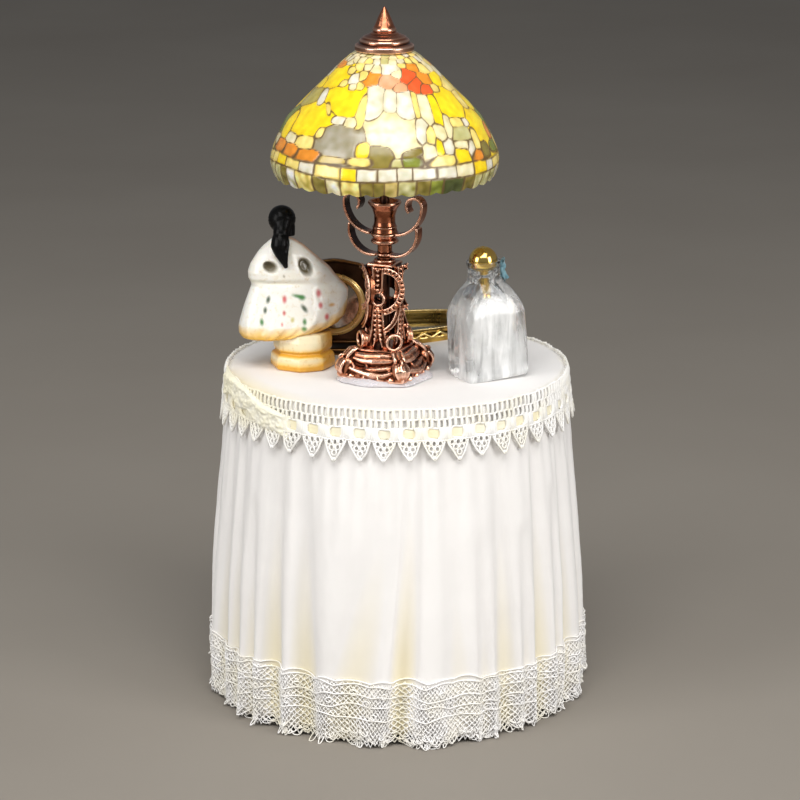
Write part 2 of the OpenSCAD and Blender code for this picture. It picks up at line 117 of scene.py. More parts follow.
def birch(name, light, dark, ring_scale):
    """Pale birch: growth rings, fine pores and a dull sawn surface."""
    m = bpy.data.materials.new(name)
    m.use_nodes = True
    tree = m.node_tree
    board = tree.nodes["Principled BSDF"]
    board.label, board.location = "sawn wood", (620, 0)
    board.inputs["Specular IOR Level"].default_value = 0.3
    where = tree.nodes.new("ShaderNodeTexCoord")
    where.label, where.location = "place in the board", (-900, 0)
    stretch = tree.nodes.new("ShaderNodeMapping")
    stretch.label, stretch.location = "grain runs along x", (-700, 0)
    stretch.inputs["Scale"].default_value = (60, 900, 900)
    rings = tree.nodes.new("ShaderNodeTexWave")
    rings.label, rings.location = "growth rings", (-460, 160)
    rings.inputs["Scale"].default_value = ring_scale
    rings.inputs["Distortion"].default_value = 5
    rings.inputs["Detail"].default_value = 3
    pores = tree.nodes.new("ShaderNodeTexNoise")
    pores.label, pores.location = "pores", (-460, -160)
    pores.inputs["Scale"].default_value = 6
    pores.inputs["Detail"].default_value = 6
    shade = tree.nodes.new("ShaderNodeValToRGB")
    shade.label, shade.location = "pale and dark wood", (-200, 160)
    shade.color_ramp.elements[0].color = (*dark, 1)
    shade.color_ramp.elements[1].color = (*light, 1)
    dull = tree.nodes.new("ShaderNodeMapRange")
    dull.label, dull.location = "dull to slightly smooth", (60, -60)
    dull.inputs["To Min"].default_value, dull.inputs["To Max"].default_value = 0.55, 0.8
    dents = tree.nodes.new("ShaderNodeBump")
    dents.label, dents.location = "open grain", (340, -260)
    dents.inputs["Strength"].default_value = 0.3
    dents.inputs["Distance"].default_value = 0.0001
    colour_frame, surface_frame = tree.nodes.new("NodeFrame"), tree.nodes.new("NodeFrame")
    colour_frame.label, surface_frame.label = "wood colour", "sawn surface"
    rings.parent = shade.parent = colour_frame
    pores.parent = dull.parent = dents.parent = surface_frame
    tree.links.new(where.outputs["Object"], stretch.inputs["Vector"])
    tree.links.new(stretch.outputs["Vector"], rings.inputs["Vector"])
    tree.links.new(stretch.outputs["Vector"], pores.inputs["Vector"])
    tree.links.new(rings.outputs["Fac"], shade.inputs["Fac"])
    tree.links.new(shade.outputs["Color"], board.inputs["Base Color"])
    tree.links.new(pores.outputs["Fac"], dull.inputs["Value"])
    tree.links.new(dull.outputs["Result"], board.inputs["Roughness"])
    tree.links.new(pores.outputs["Fac"], dents.inputs["Height"])
    tree.links.new(dents.outputs["Normal"], board.inputs["Normal"])
    return m


def metal(name, bright, deep, worn, rough, grime, grain=2200, cast=0.00004):
    """Cast or turned metal: bright on the worn high edges, dark in the hollows, with a cloudy finish.
    grime is how far the dark tone reaches out of the hollows, from 0 to 1."""
    m = bpy.data.materials.new(name)
    m.use_nodes = True
    tree = m.node_tree
    skin = tree.nodes["Principled BSDF"]
    skin.label, skin.location = "metal", (900, 0)
    skin.inputs["Metallic"].default_value = 1
    where = tree.nodes.new("ShaderNodeTexCoord")
    where.label, where.location = "place on the piece", (-900, 0)
    cloud = tree.nodes.new("ShaderNodeTexNoise")
    cloud.label, cloud.location = "cloudy tarnish", (-660, 200)
    cloud.inputs["Scale"].default_value = grain * 0.25
    cloud.inputs["Detail"].default_value = 4
    tarnish = tree.nodes.new("ShaderNodeValToRGB")
    tarnish.label, tarnish.location = "tarnished to clean", (-440, 200)
    tarnish.color_ramp.elements[0].position, tarnish.color_ramp.elements[0].color = 0.3, (*deep, 1)
    tarnish.color_ramp.elements[1].position, tarnish.color_ramp.elements[1].color = 0.62, (*bright, 1)
    edge = tree.nodes.new("ShaderNodeAttribute")
    edge.label, edge.location = "depth of the hollows, below 0 on edges", (-660, -120)
    edge.attribute_name = "hollow"
    hollow = tree.nodes.new("ShaderNodeMapRange")
    hollow.label, hollow.location = "hollows keep the dark wash", (-420, -60)
    hollow.inputs["From Min"].default_value, hollow.inputs["From Max"].default_value = 1.1 - grime, 0.1
    rub = tree.nodes.new("ShaderNodeMapRange")
    rub.label, rub.location = "edges are rubbed bright", (-420, -320)
    rub.inputs["From Min"].default_value, rub.inputs["From Max"].default_value = -0.1, -0.8
    # the dark wash is patina in the hollows; on inward faces of the lamp column and scrolls it is painted
    # shade
    wash_and_shade = tree.nodes.new("ShaderNodeMix")
    wash_and_shade.label, wash_and_shade.location = "dark wash", (-140, 160)
    wash_and_shade.data_type = "RGBA"
    wash_and_shade.inputs["A"].default_value = (*[c * 0.16 for c in deep], 1)
    rubbed = tree.nodes.new("ShaderNodeMix")
    rubbed.label, rubbed.location = "rubbed edge", (120, 160)
    rubbed.data_type = "RGBA"
    rubbed.inputs["B"].default_value = (*worn, 1)
    haze = tree.nodes.new("ShaderNodeMapRange")
    haze.label, haze.location = "uneven polish", (120, -120)
    haze.inputs["To Min"].default_value, haze.inputs["To Max"].default_value = rough * 0.75, rough * 1.35
    pits = tree.nodes.new("ShaderNodeTexNoise")
    pits.label, pits.location = "casting texture", (120, -420)
    pits.inputs["Scale"].default_value = grain
    pits.inputs["Detail"].default_value = 3
    dents = tree.nodes.new("ShaderNodeBump")
    dents.label, dents.location = "pitted surface", (520, -360)
    dents.inputs["Strength"].default_value = 0.5
    dents.inputs["Distance"].default_value = cast
    colour_frame, surface_frame = tree.nodes.new("NodeFrame"), tree.nodes.new("NodeFrame")
    colour_frame.label, surface_frame.label = "metal colour", "metal surface"
    for n in (cloud, tarnish, edge, hollow, rub, wash_and_shade, rubbed):
        n.parent = colour_frame
    for n in (haze, pits, dents):
        n.parent = surface_frame
    tree.links.new(where.outputs["Object"], cloud.inputs["Vector"])
    tree.links.new(where.outputs["Object"], pits.inputs["Vector"])
    tree.links.new(cloud.outputs["Fac"], tarnish.inputs["Fac"])
    tree.links.new(edge.outputs["Fac"], hollow.inputs["Value"])
    tree.links.new(edge.outputs["Fac"], rub.inputs["Value"])
    tree.links.new(hollow.outputs["Result"], wash_and_shade.inputs["Factor"])
    tree.links.new(tarnish.outputs["Color"], wash_and_shade.inputs["B"])
    tree.links.new(rub.outputs["Result"], rubbed.inputs["Factor"])
    tree.links.new(wash_and_shade.outputs["Result"], rubbed.inputs["A"])
    tree.links.new(rubbed.outputs["Result"], skin.inputs["Base Color"])
    tree.links.new(cloud.outputs["Fac"], haze.inputs["Value"])
    tree.links.new(haze.outputs["Result"], skin.inputs["Roughness"])
    tree.links.new(pits.outputs["Fac"], dents.inputs["Height"])
    tree.links.new(dents.outputs["Normal"], skin.inputs["Normal"])
    return m


def dress(name, material):
    """Gives a designed solid its finish."""
    piece = node[name]
    piece.data.materials.clear()
    piece.data.materials.append(material)


ply = birch("birch_ply", (0.62, 0.43, 0.24), (0.42, 0.26, 0.13), 1.2)
dowel_wood = birch("birch_dowel", (0.58, 0.38, 0.2), (0.4, 0.25, 0.12), 2.4)
screw_steel = metal("zinced_steel", (0.55, 0.56, 0.56), (0.36, 0.37, 0.37), (0.7, 0.7, 0.7), 0.32, 0.2)
dress("foot_board", ply)
dress("top_board", ply)
dress("pedestal", dowel_wood)
dress("board_screws", screw_steel)

# ---------------------------------------------------------------- top cloth
# A round piece of white cotton lawn glued over the top board, its edge turned down over the rim.
# It is a little uneven where it is stuck down, and cream where glue has come through at the edge.
table_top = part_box("top_cloth")[1].z / mm
board_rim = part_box("top_cloth")[1].x / mm


def cotton(name, white, stain_and_fold_shade, weave, bump, rough=0.88, sheen=0.25):
    """White cotton in plain weave on the piece's own UV map, cream where its stain attribute is high: glue
    stains, and painted shade in the fold hollows.
    """
    m = bpy.data.materials.new(name)
    m.use_nodes = True
    tree = m.node_tree
    cloth = tree.nodes["Principled BSDF"]
    cloth.label, cloth.location = "cotton", (900, 0)
    cloth.inputs["Roughness"].default_value = rough
    cloth.inputs["Specular IOR Level"].default_value = 0.25
    cloth.inputs["Sheen Weight"].default_value = sheen
    cloth.inputs["Sheen Roughness"].default_value = 0.5
    threads = tree.nodes.new("ShaderNodeUVMap")
    threads.label, threads.location = "along and across the cloth", (-900, -200)
    threads.uv_map = "weave"
    warp = tree.nodes.new("ShaderNodeTexWave")
    warp.label, warp.location = "warp threads", (-640, -120)
    warp.inputs["Scale"].default_value = weave
    warp.inputs["Distortion"].default_value = 0.6
    warp.inputs["Detail"].default_value = 1
    weft = tree.nodes.new("ShaderNodeTexWave")
    weft.label, weft.location = "weft threads", (-640, -420)
    weft.bands_direction = "Y"
    weft.inputs["Scale"].default_value = weave
    weft.inputs["Distortion"].default_value = 0.6
    weft.inputs["Detail"].default_value = 1
    cross = tree.nodes.new("ShaderNodeMath")
    cross.label, cross.location = "threads over and under", (-380, -260)
    cross.operation = "ADD"
    relief = tree.nodes.new("ShaderNodeBump")
    relief.label, relief.location = "weave relief", (560, -300)
    relief.inputs["Strength"].default_value = bump
    relief.inputs["Distance"].default_value = 0.00006
    where = tree.nodes.new("ShaderNodeTexCoord")
    where.label, where.location = "place on the cloth", (-900, 300)
    blotch = tree.nodes.new("ShaderNodeTexNoise")
    blotch.label, blotch.location = "faint washing marks", (-640, 320)
    blotch.inputs["Scale"].default_value = 90
    blotch.inputs["Detail"].default_value = 5
    base = tree.nodes.new("ShaderNodeValToRGB")
    base.label, base.location = "white of the cloth", (-380, 320)
    base.color_ramp.elements[0].position, base.color_ramp.elements[0].color = (
        0.3, (*[c * 0.965 for c in white], 1)
    )
    base.color_ramp.elements[1].position, base.color_ramp.elements[1].color = 0.65, (*white, 1)
    # the attribute holds glue stains on some pieces, and painted shade in the fold hollows of the skirt
    stain_and_shade_mark = tree.nodes.new("ShaderNodeAttribute")
    stain_and_shade_mark.label, stain_and_shade_mark.location = "cream in folds and by the glue", (-380, 40)
    stain_and_shade_mark.attribute_name = "stain_and_fold_shade"
    cream = tree.nodes.new("ShaderNodeMix")
    cream.label, cream.location = "yellowed cloth", (200, 200)
    cream.data_type = "RGBA"
    cream.inputs["B"].default_value = (*stain_and_fold_shade, 1)
    colour_frame, weave_frame = tree.nodes.new("NodeFrame"), tree.nodes.new("NodeFrame")
    colour_frame.label, weave_frame.label = "cloth colour", "weave"
    for n in (where, blotch, base, stain_and_shade_mark, cream):
        n.parent = colour_frame
    for n in (threads, warp, weft, cross, relief):
        n.parent = weave_frame
    tree.links.new(threads.outputs["UV"], warp.inputs["Vector"])
    tree.links.new(threads.outputs["UV"], weft.inputs["Vector"])
    tree.links.new(warp.outputs["Fac"], cross.inputs[0])
    tree.links.new(weft.outputs["Fac"], cross.inputs[1])
    tree.links.new(cross.outputs["Value"], relief.inputs["Height"])
    tree.links.new(relief.outputs["Normal"], cloth.inputs["Normal"])
    tree.links.new(where.outputs["Object"], blotch.inputs["Vector"])
    tree.links.new(blotch.outputs["Fac"], base.inputs["Fac"])
    tree.links.new(base.outputs["Color"], cream.inputs["A"])
    tree.links.new(stain_and_shade_mark.outputs["Fac"], cream.inputs["Factor"])
    tree.links.new(cream.outputs["Result"], cloth.inputs["Base Color"])
    return m


def paint(piece, name, values):
    """Keeps one number per point on a piece, for its material to read."""
    mark = piece.data.attributes.new(name, "FLOAT", "POINT")
    mark.data.foreach_set("value", np.asarray(values, np.float32))


def points_of(piece):
    co = np.empty(len(piece.data.vertices) * 3, np.float32)
    piece.data.vertices.foreach_get("co", co)
    return co.reshape(-1, 3).astype(float)


def move_points(piece, co):
    piece.data.vertices.foreach_set("co", np.asarray(co, np.float32).ravel())
    piece.data.update()


def lay_uv(piece, per_point):
    """A UV map given point by point, in millimetres of cloth."""
    corner = np.empty(len(piece.data.loops), np.int32)
    piece.data.loops.foreach_get("vertex_index", corner)
    layer = piece.data.uv_layers.get("weave") or piece.data.uv_layers.new(name="weave")
    layer.data.foreach_set("uv", np.asarray(per_point, np.float32)[corner].ravel())


def ripple(x, y, z, size, seed=0.0):
    """Smooth unevenness between about -0.5 and 0.5, for one point or for arrays of points."""
    at = np.stack([np.ravel(np.broadcast_to(c, np.shape(x))) for c in (x, y, z)], -1) / size + seed
    return np.array([noise.noise(Vector(p)) for p in at]).reshape(np.shape(x))


def finish_sheet(piece, thickness):
    """Thickness for a thin piece, grown inwards from its outer face, and smooth shading."""
    bpy.context.view_layer.objects.active = piece
    wall = piece.modifiers.new("thickness", "SOLIDIFY")
    wall.thickness = thickness * mm
    wall.offset = -1
    bpy.ops.object.modifier_apply(modifier=wall.name)
    bpy.ops.object.select_all(action="DESELECT")
    piece.select_set(True)
    bpy.ops.object.shade_smooth()
    piece.select_set(False)


def turned(name, profile, centre=(0, 0), steps=96, smooth=35):
    """A profile of (radius, height) points in millimetres, spun about the upright line at centre.
    The profile is drawn by extruding one point."""
    ox, oy = centre
    bpy.ops.mesh.primitive_plane_add(size=mm)
    piece = bpy.context.object
    piece.name = name
    bpy.ops.object.mode_set(mode="EDIT")
    bpy.ops.mesh.merge(type="CENTER")
    bpy.ops.transform.translate(value=((ox + profile[0][0]) * mm, oy * mm, profile[0][1] * mm))
    for a, b in zip(profile, profile[1:]):
        bpy.ops.mesh.extrude_region_move(
            TRANSFORM_OT_translate={"value": ((b[0] - a[0]) * mm, 0, (b[1] - a[1]) * mm)}
        )
    bpy.ops.mesh.select_all(action="SELECT")
    bpy.ops.mesh.spin(steps=steps, angle=2 * math.pi, center=(ox * mm, oy * mm, 0), axis=(0, 0, 1))
    bpy.ops.mesh.select_all(action="SELECT")
    bpy.ops.mesh.remove_doubles(threshold=0.002 * mm)
    bpy.ops.mesh.normals_make_consistent(inside=False)
    bpy.ops.object.mode_set(mode="OBJECT")
    bpy.ops.object.shade_smooth_by_angle(angle=math.radians(smooth))
    bpy.ops.object.select_all(action="DESELECT")
    return piece


lawn = cotton("cotton_lawn", (0.885, 0.865, 0.845), (0.83, 0.745, 0.5), 1.0, 0.25)
edge_round = 0.95
edge_roll = [
    (board_rim - edge_round + edge_round * math.sin(t), table_top - edge_round + edge_round * math.cos(t))
    for t in np.linspace(0, math.pi / 2, 7)
]
top_cloth = turned(
    "cloth_over_top",
    [(r, table_top) for r in np.linspace(0.02, board_rim - 1.1, 40)] + edge_roll
    + [(board_rim, table_top - 1.6)],
    steps=180
)
co = points_of(top_cloth) / mm
reach = np.hypot(co[:, 0], co[:, 1])
co[:, 2] += (
    0.1 * ripple(co[:, 0], co[:, 1], 0 * reach, 14) * np.clip(reach / 12, 0, 1)
    + 0.02 * ripple(co[:, 0], co[:, 1], 0 * reach, 2.2)
)
co[:, 2] -= 0.14 * np.clip((reach - 29.5) / 2, 0, 1)
move_points(top_cloth, co * mm)
lawn_pitch = 0.36
lay_uv(top_cloth, co[:, :2] / lawn_pitch)
side = np.arctan2(co[:, 0], -co[:, 1])
glue_seep = 0.28 * np.clip((reach - 30.6) / 1.2, 0, 1) * (0.7 + ripple(co[:, 0], co[:, 1], 0 * reach, 5))
join_stain = 0.75 * np.exp(-(((side + 1.02) / 0.42) ** 2)) * np.clip((reach - 27.5) / 3.5, 0, 1)
paint(top_cloth, "stain_and_fold_shade", np.clip(glue_seep + join_stain, 0, 1))
top_cloth.data.materials.append(lawn)
finish_sheet(top_cloth, 0.25)
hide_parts("top_cloth")
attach(top_cloth, "table")

# ---------------------------------------------------------------- gathered skirt
# White cotton, gathered on a thread and glued round the edge of the board, its hem just clear of the floor.
# It falls in nearly thirty soft folds: wide rounded backs and narrow hollows, deeper towards the hem.
skirt_low = 1.3
skirt_fall = [
    (table_top - 0.3, board_rim + 0.02), (54, 32.55), (40, 34.15), (25, 35.65), (10, 36.75), (4, 36.7),
    (0, 36.3)
]
# each hollow: angle from the front at the top and at the hem, half width and depth at the hem,
# and the height where it starts
hollows = [
    (-68, -70, 3.8, 2.4, 63), (-59, -60, 2.8, 2.2, 63), (-50.5, -51, 1.9, 2.3, 44),
    (-41.2, -41, 2.7, 3.1, 63), (-31, -28.5, 3.2, 2.9, 63), (0, -17, 5.4, 2.6, 56),
    (5.5, 0.6, 2.3, 3.1, 62), (17, 19.5, 3.6, 1.9, 63), (26, 27.5, 1.7, 1.5, 40), (34, 35, 2.5, 2.7, 63),
    (42, 43, 1.7, 1.6, 40), (50, 50.5, 2.5, 3.0, 63), (58, 59, 1.8, 1.6, 46), (66, 66, 2.9, 2.6, 63),
    (79, 80, 3.0, 2.7, 63), (91, 89, 2.2, 1.9, 50), (103, 105, 3.4, 3.0, 63), (119, 117, 2.8, 2.5, 63),
    (131, 131, 2.1, 2.0, 46), (144, 146, 3.6, 3.0, 63), (160, 158, 2.8, 2.6, 63), (173, 176, 3.0, 2.8, 63),
    (-82, -83, 2.6, 2.5, 63), (-96, -94, 3.4, 2.9, 63), (-108, -109, 2.1, 2.0, 50),
    (-121, -122, 3.2, 2.9, 63), (-137, -134, 2.8, 2.6, 63), (-149, -151, 2.3, 2.3, 55),
    (-164, -165, 3.4, 3.0, 63)
]


def fold_depth(turn, z):
    """How far the cloth lies in from the backs of the folds and is pushed sideways, in millimetres."""
    fallen = np.clip((table_top - z) / table_top, 0, 1)
    depth, push = np.zeros_like(turn), np.zeros_like(turn)
    for top, hem, width, deep, start in hollows:
        centre = np.radians(top + (hem - top) * fallen**1.3)
        wide = np.radians(width * (0.62 + 0.5 * fallen))
        off = (turn - centre + math.pi) % (2 * math.pi) - math.pi
        grown = np.clip((start - z) / start, 0, 1) ** (0.85 if start > 60 else 0.7)
        grown = grown * (1 - 0.18 * np.clip(1 - z / 7, 0, 1))
        sharp, soft = np.exp(-((off / wide) ** 2)), np.exp(-((off / (2.3 * wide)) ** 2))
        depth = depth + deep * grown * (0.72 * sharp + 0.42 * soft)
        push = push - 0.55 * deep * grown * (off / wide) * np.exp(-((off / (1.25 * wide)) ** 2))
    return depth, push


def drape(turn, z, out=0.0):
    """Points on the hanging skirt, in millimetres.
    turn is the angle from the front, positive to the right, and out is a stand-off from the cloth."""
    heights, radii = zip(*skirt_fall[::-1])
    depth, push = fold_depth(turn, z)
    tuck = (
        0.13 * np.clip((z - 34) / 22, 0, 1) * np.cos(71 * turn + 3 * np.sin(5 * turn))
        * np.clip((64 - z) / 5, 0, 1)
    )
    radius = np.interp(z, heights, radii) + 0.34 * np.clip((58 - z) / 40, 0, 1) - depth + tuck + out
    bent = turn - push / radius
    return np.stack([radius * np.sin(bent), -radius * np.cos(bent), z], -1), depth


around, down = 600, 62
bpy.ops.mesh.primitive_grid_add(x_subdivisions=around, y_subdivisions=down, size=2)
skirt = bpy.context.object
skirt.name = "cotton_skirt"
flat_cloth = points_of(skirt)
turn = flat_cloth[:, 0] * math.pi
drop = (1 - flat_cloth[:, 1]) / 2
hem_wave = 0.5 * np.sin(9 * turn + 1) + 0.3 * np.sin(23 * turn)
z = table_top - 0.35 - drop * (table_top - 0.35 - skirt_low - hem_wave)
hung, depth = drape(turn, z, 0.05)
crease = (
    0.16 * ripple(hung[:, 0], hung[:, 1], hung[:, 2] * 0.35, 3.6)
    + 0.05 * ripple(hung[:, 0], hung[:, 1], hung[:, 2] * 0.6, 1.3)
)
crease *= np.clip((table_top - z) / 12, 0, 1)
hung[:, 0] += crease * np.sin(turn)
hung[:, 1] -= crease * np.cos(turn)
move_points(skirt, hung * mm)
gathered_reach = 39
lay_uv(skirt, np.stack([turn * gathered_reach / lawn_pitch, z / lawn_pitch], -1))
# painted shade: the deep fold hollows are tinted cream, standing for the warm shade that lies between the
# folds
paint(skirt, "stain_and_fold_shade", np.clip((depth - 1.3) / 1.9, 0, 1) * 0.9 * np.clip((54 - z) / 36, 0, 1))
bpy.ops.object.mode_set(mode="EDIT")
bpy.ops.mesh.select_all(action="SELECT")
bpy.ops.mesh.remove_doubles(threshold=0.01 * mm)
bpy.ops.mesh.normals_make_consistent(inside=False)
bpy.ops.object.mode_set(mode="OBJECT")
skirt.data.materials.append(lawn)
finish_sheet(skirt, 0.22)
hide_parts("skirt")
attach(skirt, "table")

# ---------------------------------------------------------------- net lace round the hem
# A narrow machine-made net with five scalloped cords, sewn over the hem and reaching the floor.
# Its lower edge is frayed into loops and loose ends that stand off the cloth.
net_top, net_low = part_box("hem_lace")[1].z / mm, 0.35
hem_reach = 37
sprig_count, fray_count = 123, 560


def thread(name, white, cream):
    """Cotton thread: twisted, slightly fuzzy, with a cream tone that comes and goes."""
    m = bpy.data.materials.new(name)
    m.use_nodes = True
    tree = m.node_tree
    yarn = tree.nodes["Principled BSDF"]
    yarn.label, yarn.location = "cotton thread", (600, 0)
    yarn.inputs["Roughness"].default_value = 0.8
    yarn.inputs["Specular IOR Level"].default_value = 0.3
    yarn.inputs["Sheen Weight"].default_value = 0.4
    where = tree.nodes.new("ShaderNodeTexCoord")
    where.label, where.location = "place on the lace", (-700, 0)
    patch = tree.nodes.new("ShaderNodeTexNoise")
    patch.label, patch.location = "uneven bleaching", (-460, 160)
    patch.inputs["Scale"].default_value = 260
    patch.inputs["Detail"].default_value = 4
    tint = tree.nodes.new("ShaderNodeValToRGB")
    tint.label, tint.location = "cream to white", (-200, 160)
    tint.color_ramp.elements[0].position, tint.color_ramp.elements[0].color = 0.34, (*cream, 1)
    tint.color_ramp.elements[1].position, tint.color_ramp.elements[1].color = 0.56, (*white, 1)
    # the attribute holds glue stains on the ladder trim, and painted shade in the fold hollows on the hem
    # lace
    stain_and_shade_mark = tree.nodes.new("ShaderNodeAttribute")
    stain_and_shade_mark.label, stain_and_shade_mark.location = "soaked with glue", (-200, 420)
    stain_and_shade_mark.attribute_name = "stain_and_fold_shade"
    glue_and_shade_tint = tree.nodes.new("ShaderNodeMix")
    glue_and_shade_tint.label, glue_and_shade_tint.location = "glue yellows the thread", (120, 260)
    glue_and_shade_tint.data_type = "RGBA"
    glue_and_shade_tint.inputs["B"].default_value = (0.93, 0.87, 0.64, 1)
    twist = tree.nodes.new("ShaderNodeTexNoise")
    twist.label, twist.location = "twisted fibres", (-460, -200)
    twist.inputs["Scale"].default_value = 5200
    relief = tree.nodes.new("ShaderNodeBump")
    relief.label, relief.location = "fibre relief", (200, -200)
    relief.inputs["Strength"].default_value = 0.6
    relief.inputs["Distance"].default_value = 0.00005
    colour_frame, fibre_frame = tree.nodes.new("NodeFrame"), tree.nodes.new("NodeFrame")
    colour_frame.label, fibre_frame.label = "thread colour", "fibres"
    for n in (patch, tint, stain_and_shade_mark, glue_and_shade_tint):
        n.parent = colour_frame
    for n in (twist, relief):
        n.parent = fibre_frame
    tree.links.new(where.outputs["Object"], patch.inputs["Vector"])
    tree.links.new(where.outputs["Object"], twist.inputs["Vector"])
    tree.links.new(patch.outputs["Fac"], tint.inputs["Fac"])
    tree.links.new(tint.outputs["Color"], glue_and_shade_tint.inputs["A"])
    tree.links.new(stain_and_shade_mark.outputs["Fac"], glue_and_shade_tint.inputs["Factor"])
    tree.links.new(glue_and_shade_tint.outputs["Result"], yarn.inputs["Base Color"])
    tree.links.new(twist.outputs["Fac"], relief.inputs["Height"])
    tree.links.new(relief.outputs["Normal"], yarn.inputs["Normal"])
    return m


def as_mesh(name, curve):
    """The mesh that a curve makes with its thickness, smooth shaded."""
    piece = bpy.data.objects.new(name, curve)
    bpy.context.scene.collection.objects.link(piece)
    bpy.ops.object.select_all(action="DESELECT")
    piece.select_set(True)
    bpy.context.view_layer.objects.active = piece
    bpy.ops.object.convert(target="MESH")
    bpy.ops.object.shade_smooth()
    piece.select_set(False)
    return piece


def threads(name, lines, thick, closed=False, sides=0, taper=None):
    """Thread or wire run along each line of points, in millimetres, at thick millimetres across, as one mesh.
    taper is its thickness along each line, as a share of thick."""
    curve = bpy.data.curves.new(name, "CURVE")
    curve.dimensions = "3D"
    curve.bevel_depth = thick * mm / 2
    curve.bevel_resolution = sides
    curve.resolution_u = 1
    curve.use_fill_caps = True
    for line in lines:
        spline = curve.splines.new("POLY")
        spline.points.add(len(line) - 1)
        spline.points.foreach_set("co", np.column_stack([np.asarray(line) * mm, np.ones(len(line))]).ravel())
        spline.use_cyclic_u = closed
        if taper is not None:
            spline.points.foreach_set(
                "radius", np.interp(np.linspace(0, 1, len(line)), np.linspace(0, 1, len(taper)), taper)
            )
    return as_mesh(name, curve)


def join(name, pieces):
    """Several meshes made into one."""
    bpy.ops.object.select_all(action="DESELECT")
    for p in pieces:
        p.select_set(True)
    bpy.context.view_layer.objects.active = pieces[0]
    bpy.ops.object.join()
    pieces[0].name = name
    pieces[0].select_set(False)
    return pieces[0]


draw = np.random.default_rng(7)
lace_thread = thread("lace_thread", (0.96, 0.945, 0.93), (0.95, 0.92, 0.84))
cells, rows = 262, 21
lap = np.linspace(-math.pi, math.pi, 2 * cells + 1)[:-1]


def ruffle(turn, z):
    """How far the lace stands off the cloth: it is fuller than the hem, so it cockles."""
    return (
        0.15 + 0.16 * (1 + np.sin(31 * turn + 0.5 * z)) * np.clip((12 - z) / 12, 0, 1)
        + 0.12 * (1 + np.sin(17 * turn - 1.1)) * np.clip((9 - z) / 9, 0, 1)
    )


net = []
for row in range(rows):
    base = net_low + 0.3 + (net_top - 1.2 - net_low) * (row + 0.5) / rows
    zig = np.where((np.arange(2 * cells) + row) % 2, 0.4, -0.4)
    height = base + zig + draw.normal(0, 0.09, 2 * cells)
    sway = lap + draw.normal(0, 0.0022, 2 * cells)
    net.append(drape(sway, height, ruffle(sway, height) + draw.normal(0, 0.05, 2 * cells))[0])
net_mesh = threads("net", net, 0.38, closed=True)
cords = []
fine = np.linspace(-math.pi, math.pi, 721)[:-1]
for level, scallop, beat, phase in (
    (net_top - 0.5, 0.55, 41, 0), (net_top - 1.3, 0.5, 41, 0.2), (net_top - 3.6, 0.42, 41, 3.1),
    (net_top - 5.4, 0.4, 41, 0.4), (net_top - 7.6, 0.3, 41, 3.4)
):
    height = (
        level + scallop * np.abs(np.sin(beat * fine / 2 + phase)) + 0.3 * np.sin(7 * fine + level)
        + 0.25 * np.sin(23 * fine - 2 * level) * np.sin(5 * fine)
    )
    cords.append(drape(fine, height, ruffle(fine, height) + 0.16)[0])
cord_mesh = threads("cords", cords, 0.27, closed=True, sides=1)
sprigs = []
for k in range(sprig_count):
    centre, level = (
        -math.pi + (k + draw.uniform(-0.2, 0.2)) * 2 * math.pi / sprig_count,
        net_top - 2.6 + draw.normal(0, 0.25) - 1.9 * (k % 3)
    )
    ring = np.linspace(0, 2 * math.pi, 11)[:-1]
    turn, height = centre + 0.62 / hem_reach * np.cos(ring), level + 0.52 * np.sin(ring)
    sprigs.append(drape(turn, height, ruffle(turn, height) + 0.2)[0])
sprig_mesh = threads("sprigs", sprigs, 0.26, closed=True)
frayed = []
for k in range(fray_count):
    centre = draw.uniform(-math.pi, math.pi)
    start, long, wide = draw.uniform(0.6, 3.4), draw.uniform(0.5, 1.2), draw.uniform(0.35, 0.9)
    lean, lift = draw.normal(0, 0.35), draw.uniform(-0.1, 0.7)
    loop = np.linspace(0, math.pi, 9)
    turn = centre + (wide * np.cos(loop) + lean * np.sin(loop)) / hem_reach
    height = np.clip(start - long * np.sin(loop), 0.12, 9)
    frayed.append(drape(turn, height, ruffle(turn, height) + lift * np.sin(loop))[0])
for where, level, reach in (
    (-70, 7.6, 1.7), (-64, 5.0, 2.0), (-52, 2.2, 2.6), (-46, 1.6, 2.4), (-38, 1.4, 2.2), (-26, 1.2, 3.2),
    (-22.5, 1.1, 2.6), (-12, 1.0, 1.6), (8, 0.9, 1.4), (31, 1.4, 1.7), (63, 3.4, 2.0), (68, 4.6, 1.7),
    (74, 6.4, 1.5), (101, 3, 2.2), (128, 1.6, 2.4), (163, 1.2, 2.6), (-141, 1.6, 2.3), (-103, 2.8, 2.1)
):
    loop = np.linspace(0, math.pi, 13)
    turn = math.radians(where) + (0.55 * np.cos(loop) + 0.6 * np.sin(loop) * draw.uniform(-1, 1)) / hem_reach
    height = np.clip(level - 0.45 * reach * np.sin(loop), 0.12, 12)
    frayed.append(drape(turn, height, 0.6 + 0.6 * reach * np.sin(loop))[0])
fray_mesh = threads("fray", frayed, 0.22)
hem_lace = join("hem_net_lace", [net_mesh, cord_mesh, sprig_mesh, fray_mesh])
hem_lace.data.materials.clear()
hem_lace.data.materials.append(lace_thread)
co = points_of(hem_lace) / mm
where = np.arctan2(co[:, 0], -co[:, 1])
hollow = fold_depth(where, co[:, 2])[0]
# painted shade: the lace is tinted cream where it lies deep in the fold hollows
paint(hem_lace, "stain_and_fold_shade", np.clip((hollow - 1.8) / 2.2, 0, 0.6))
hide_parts("hem_lace")
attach(hem_lace, "table")

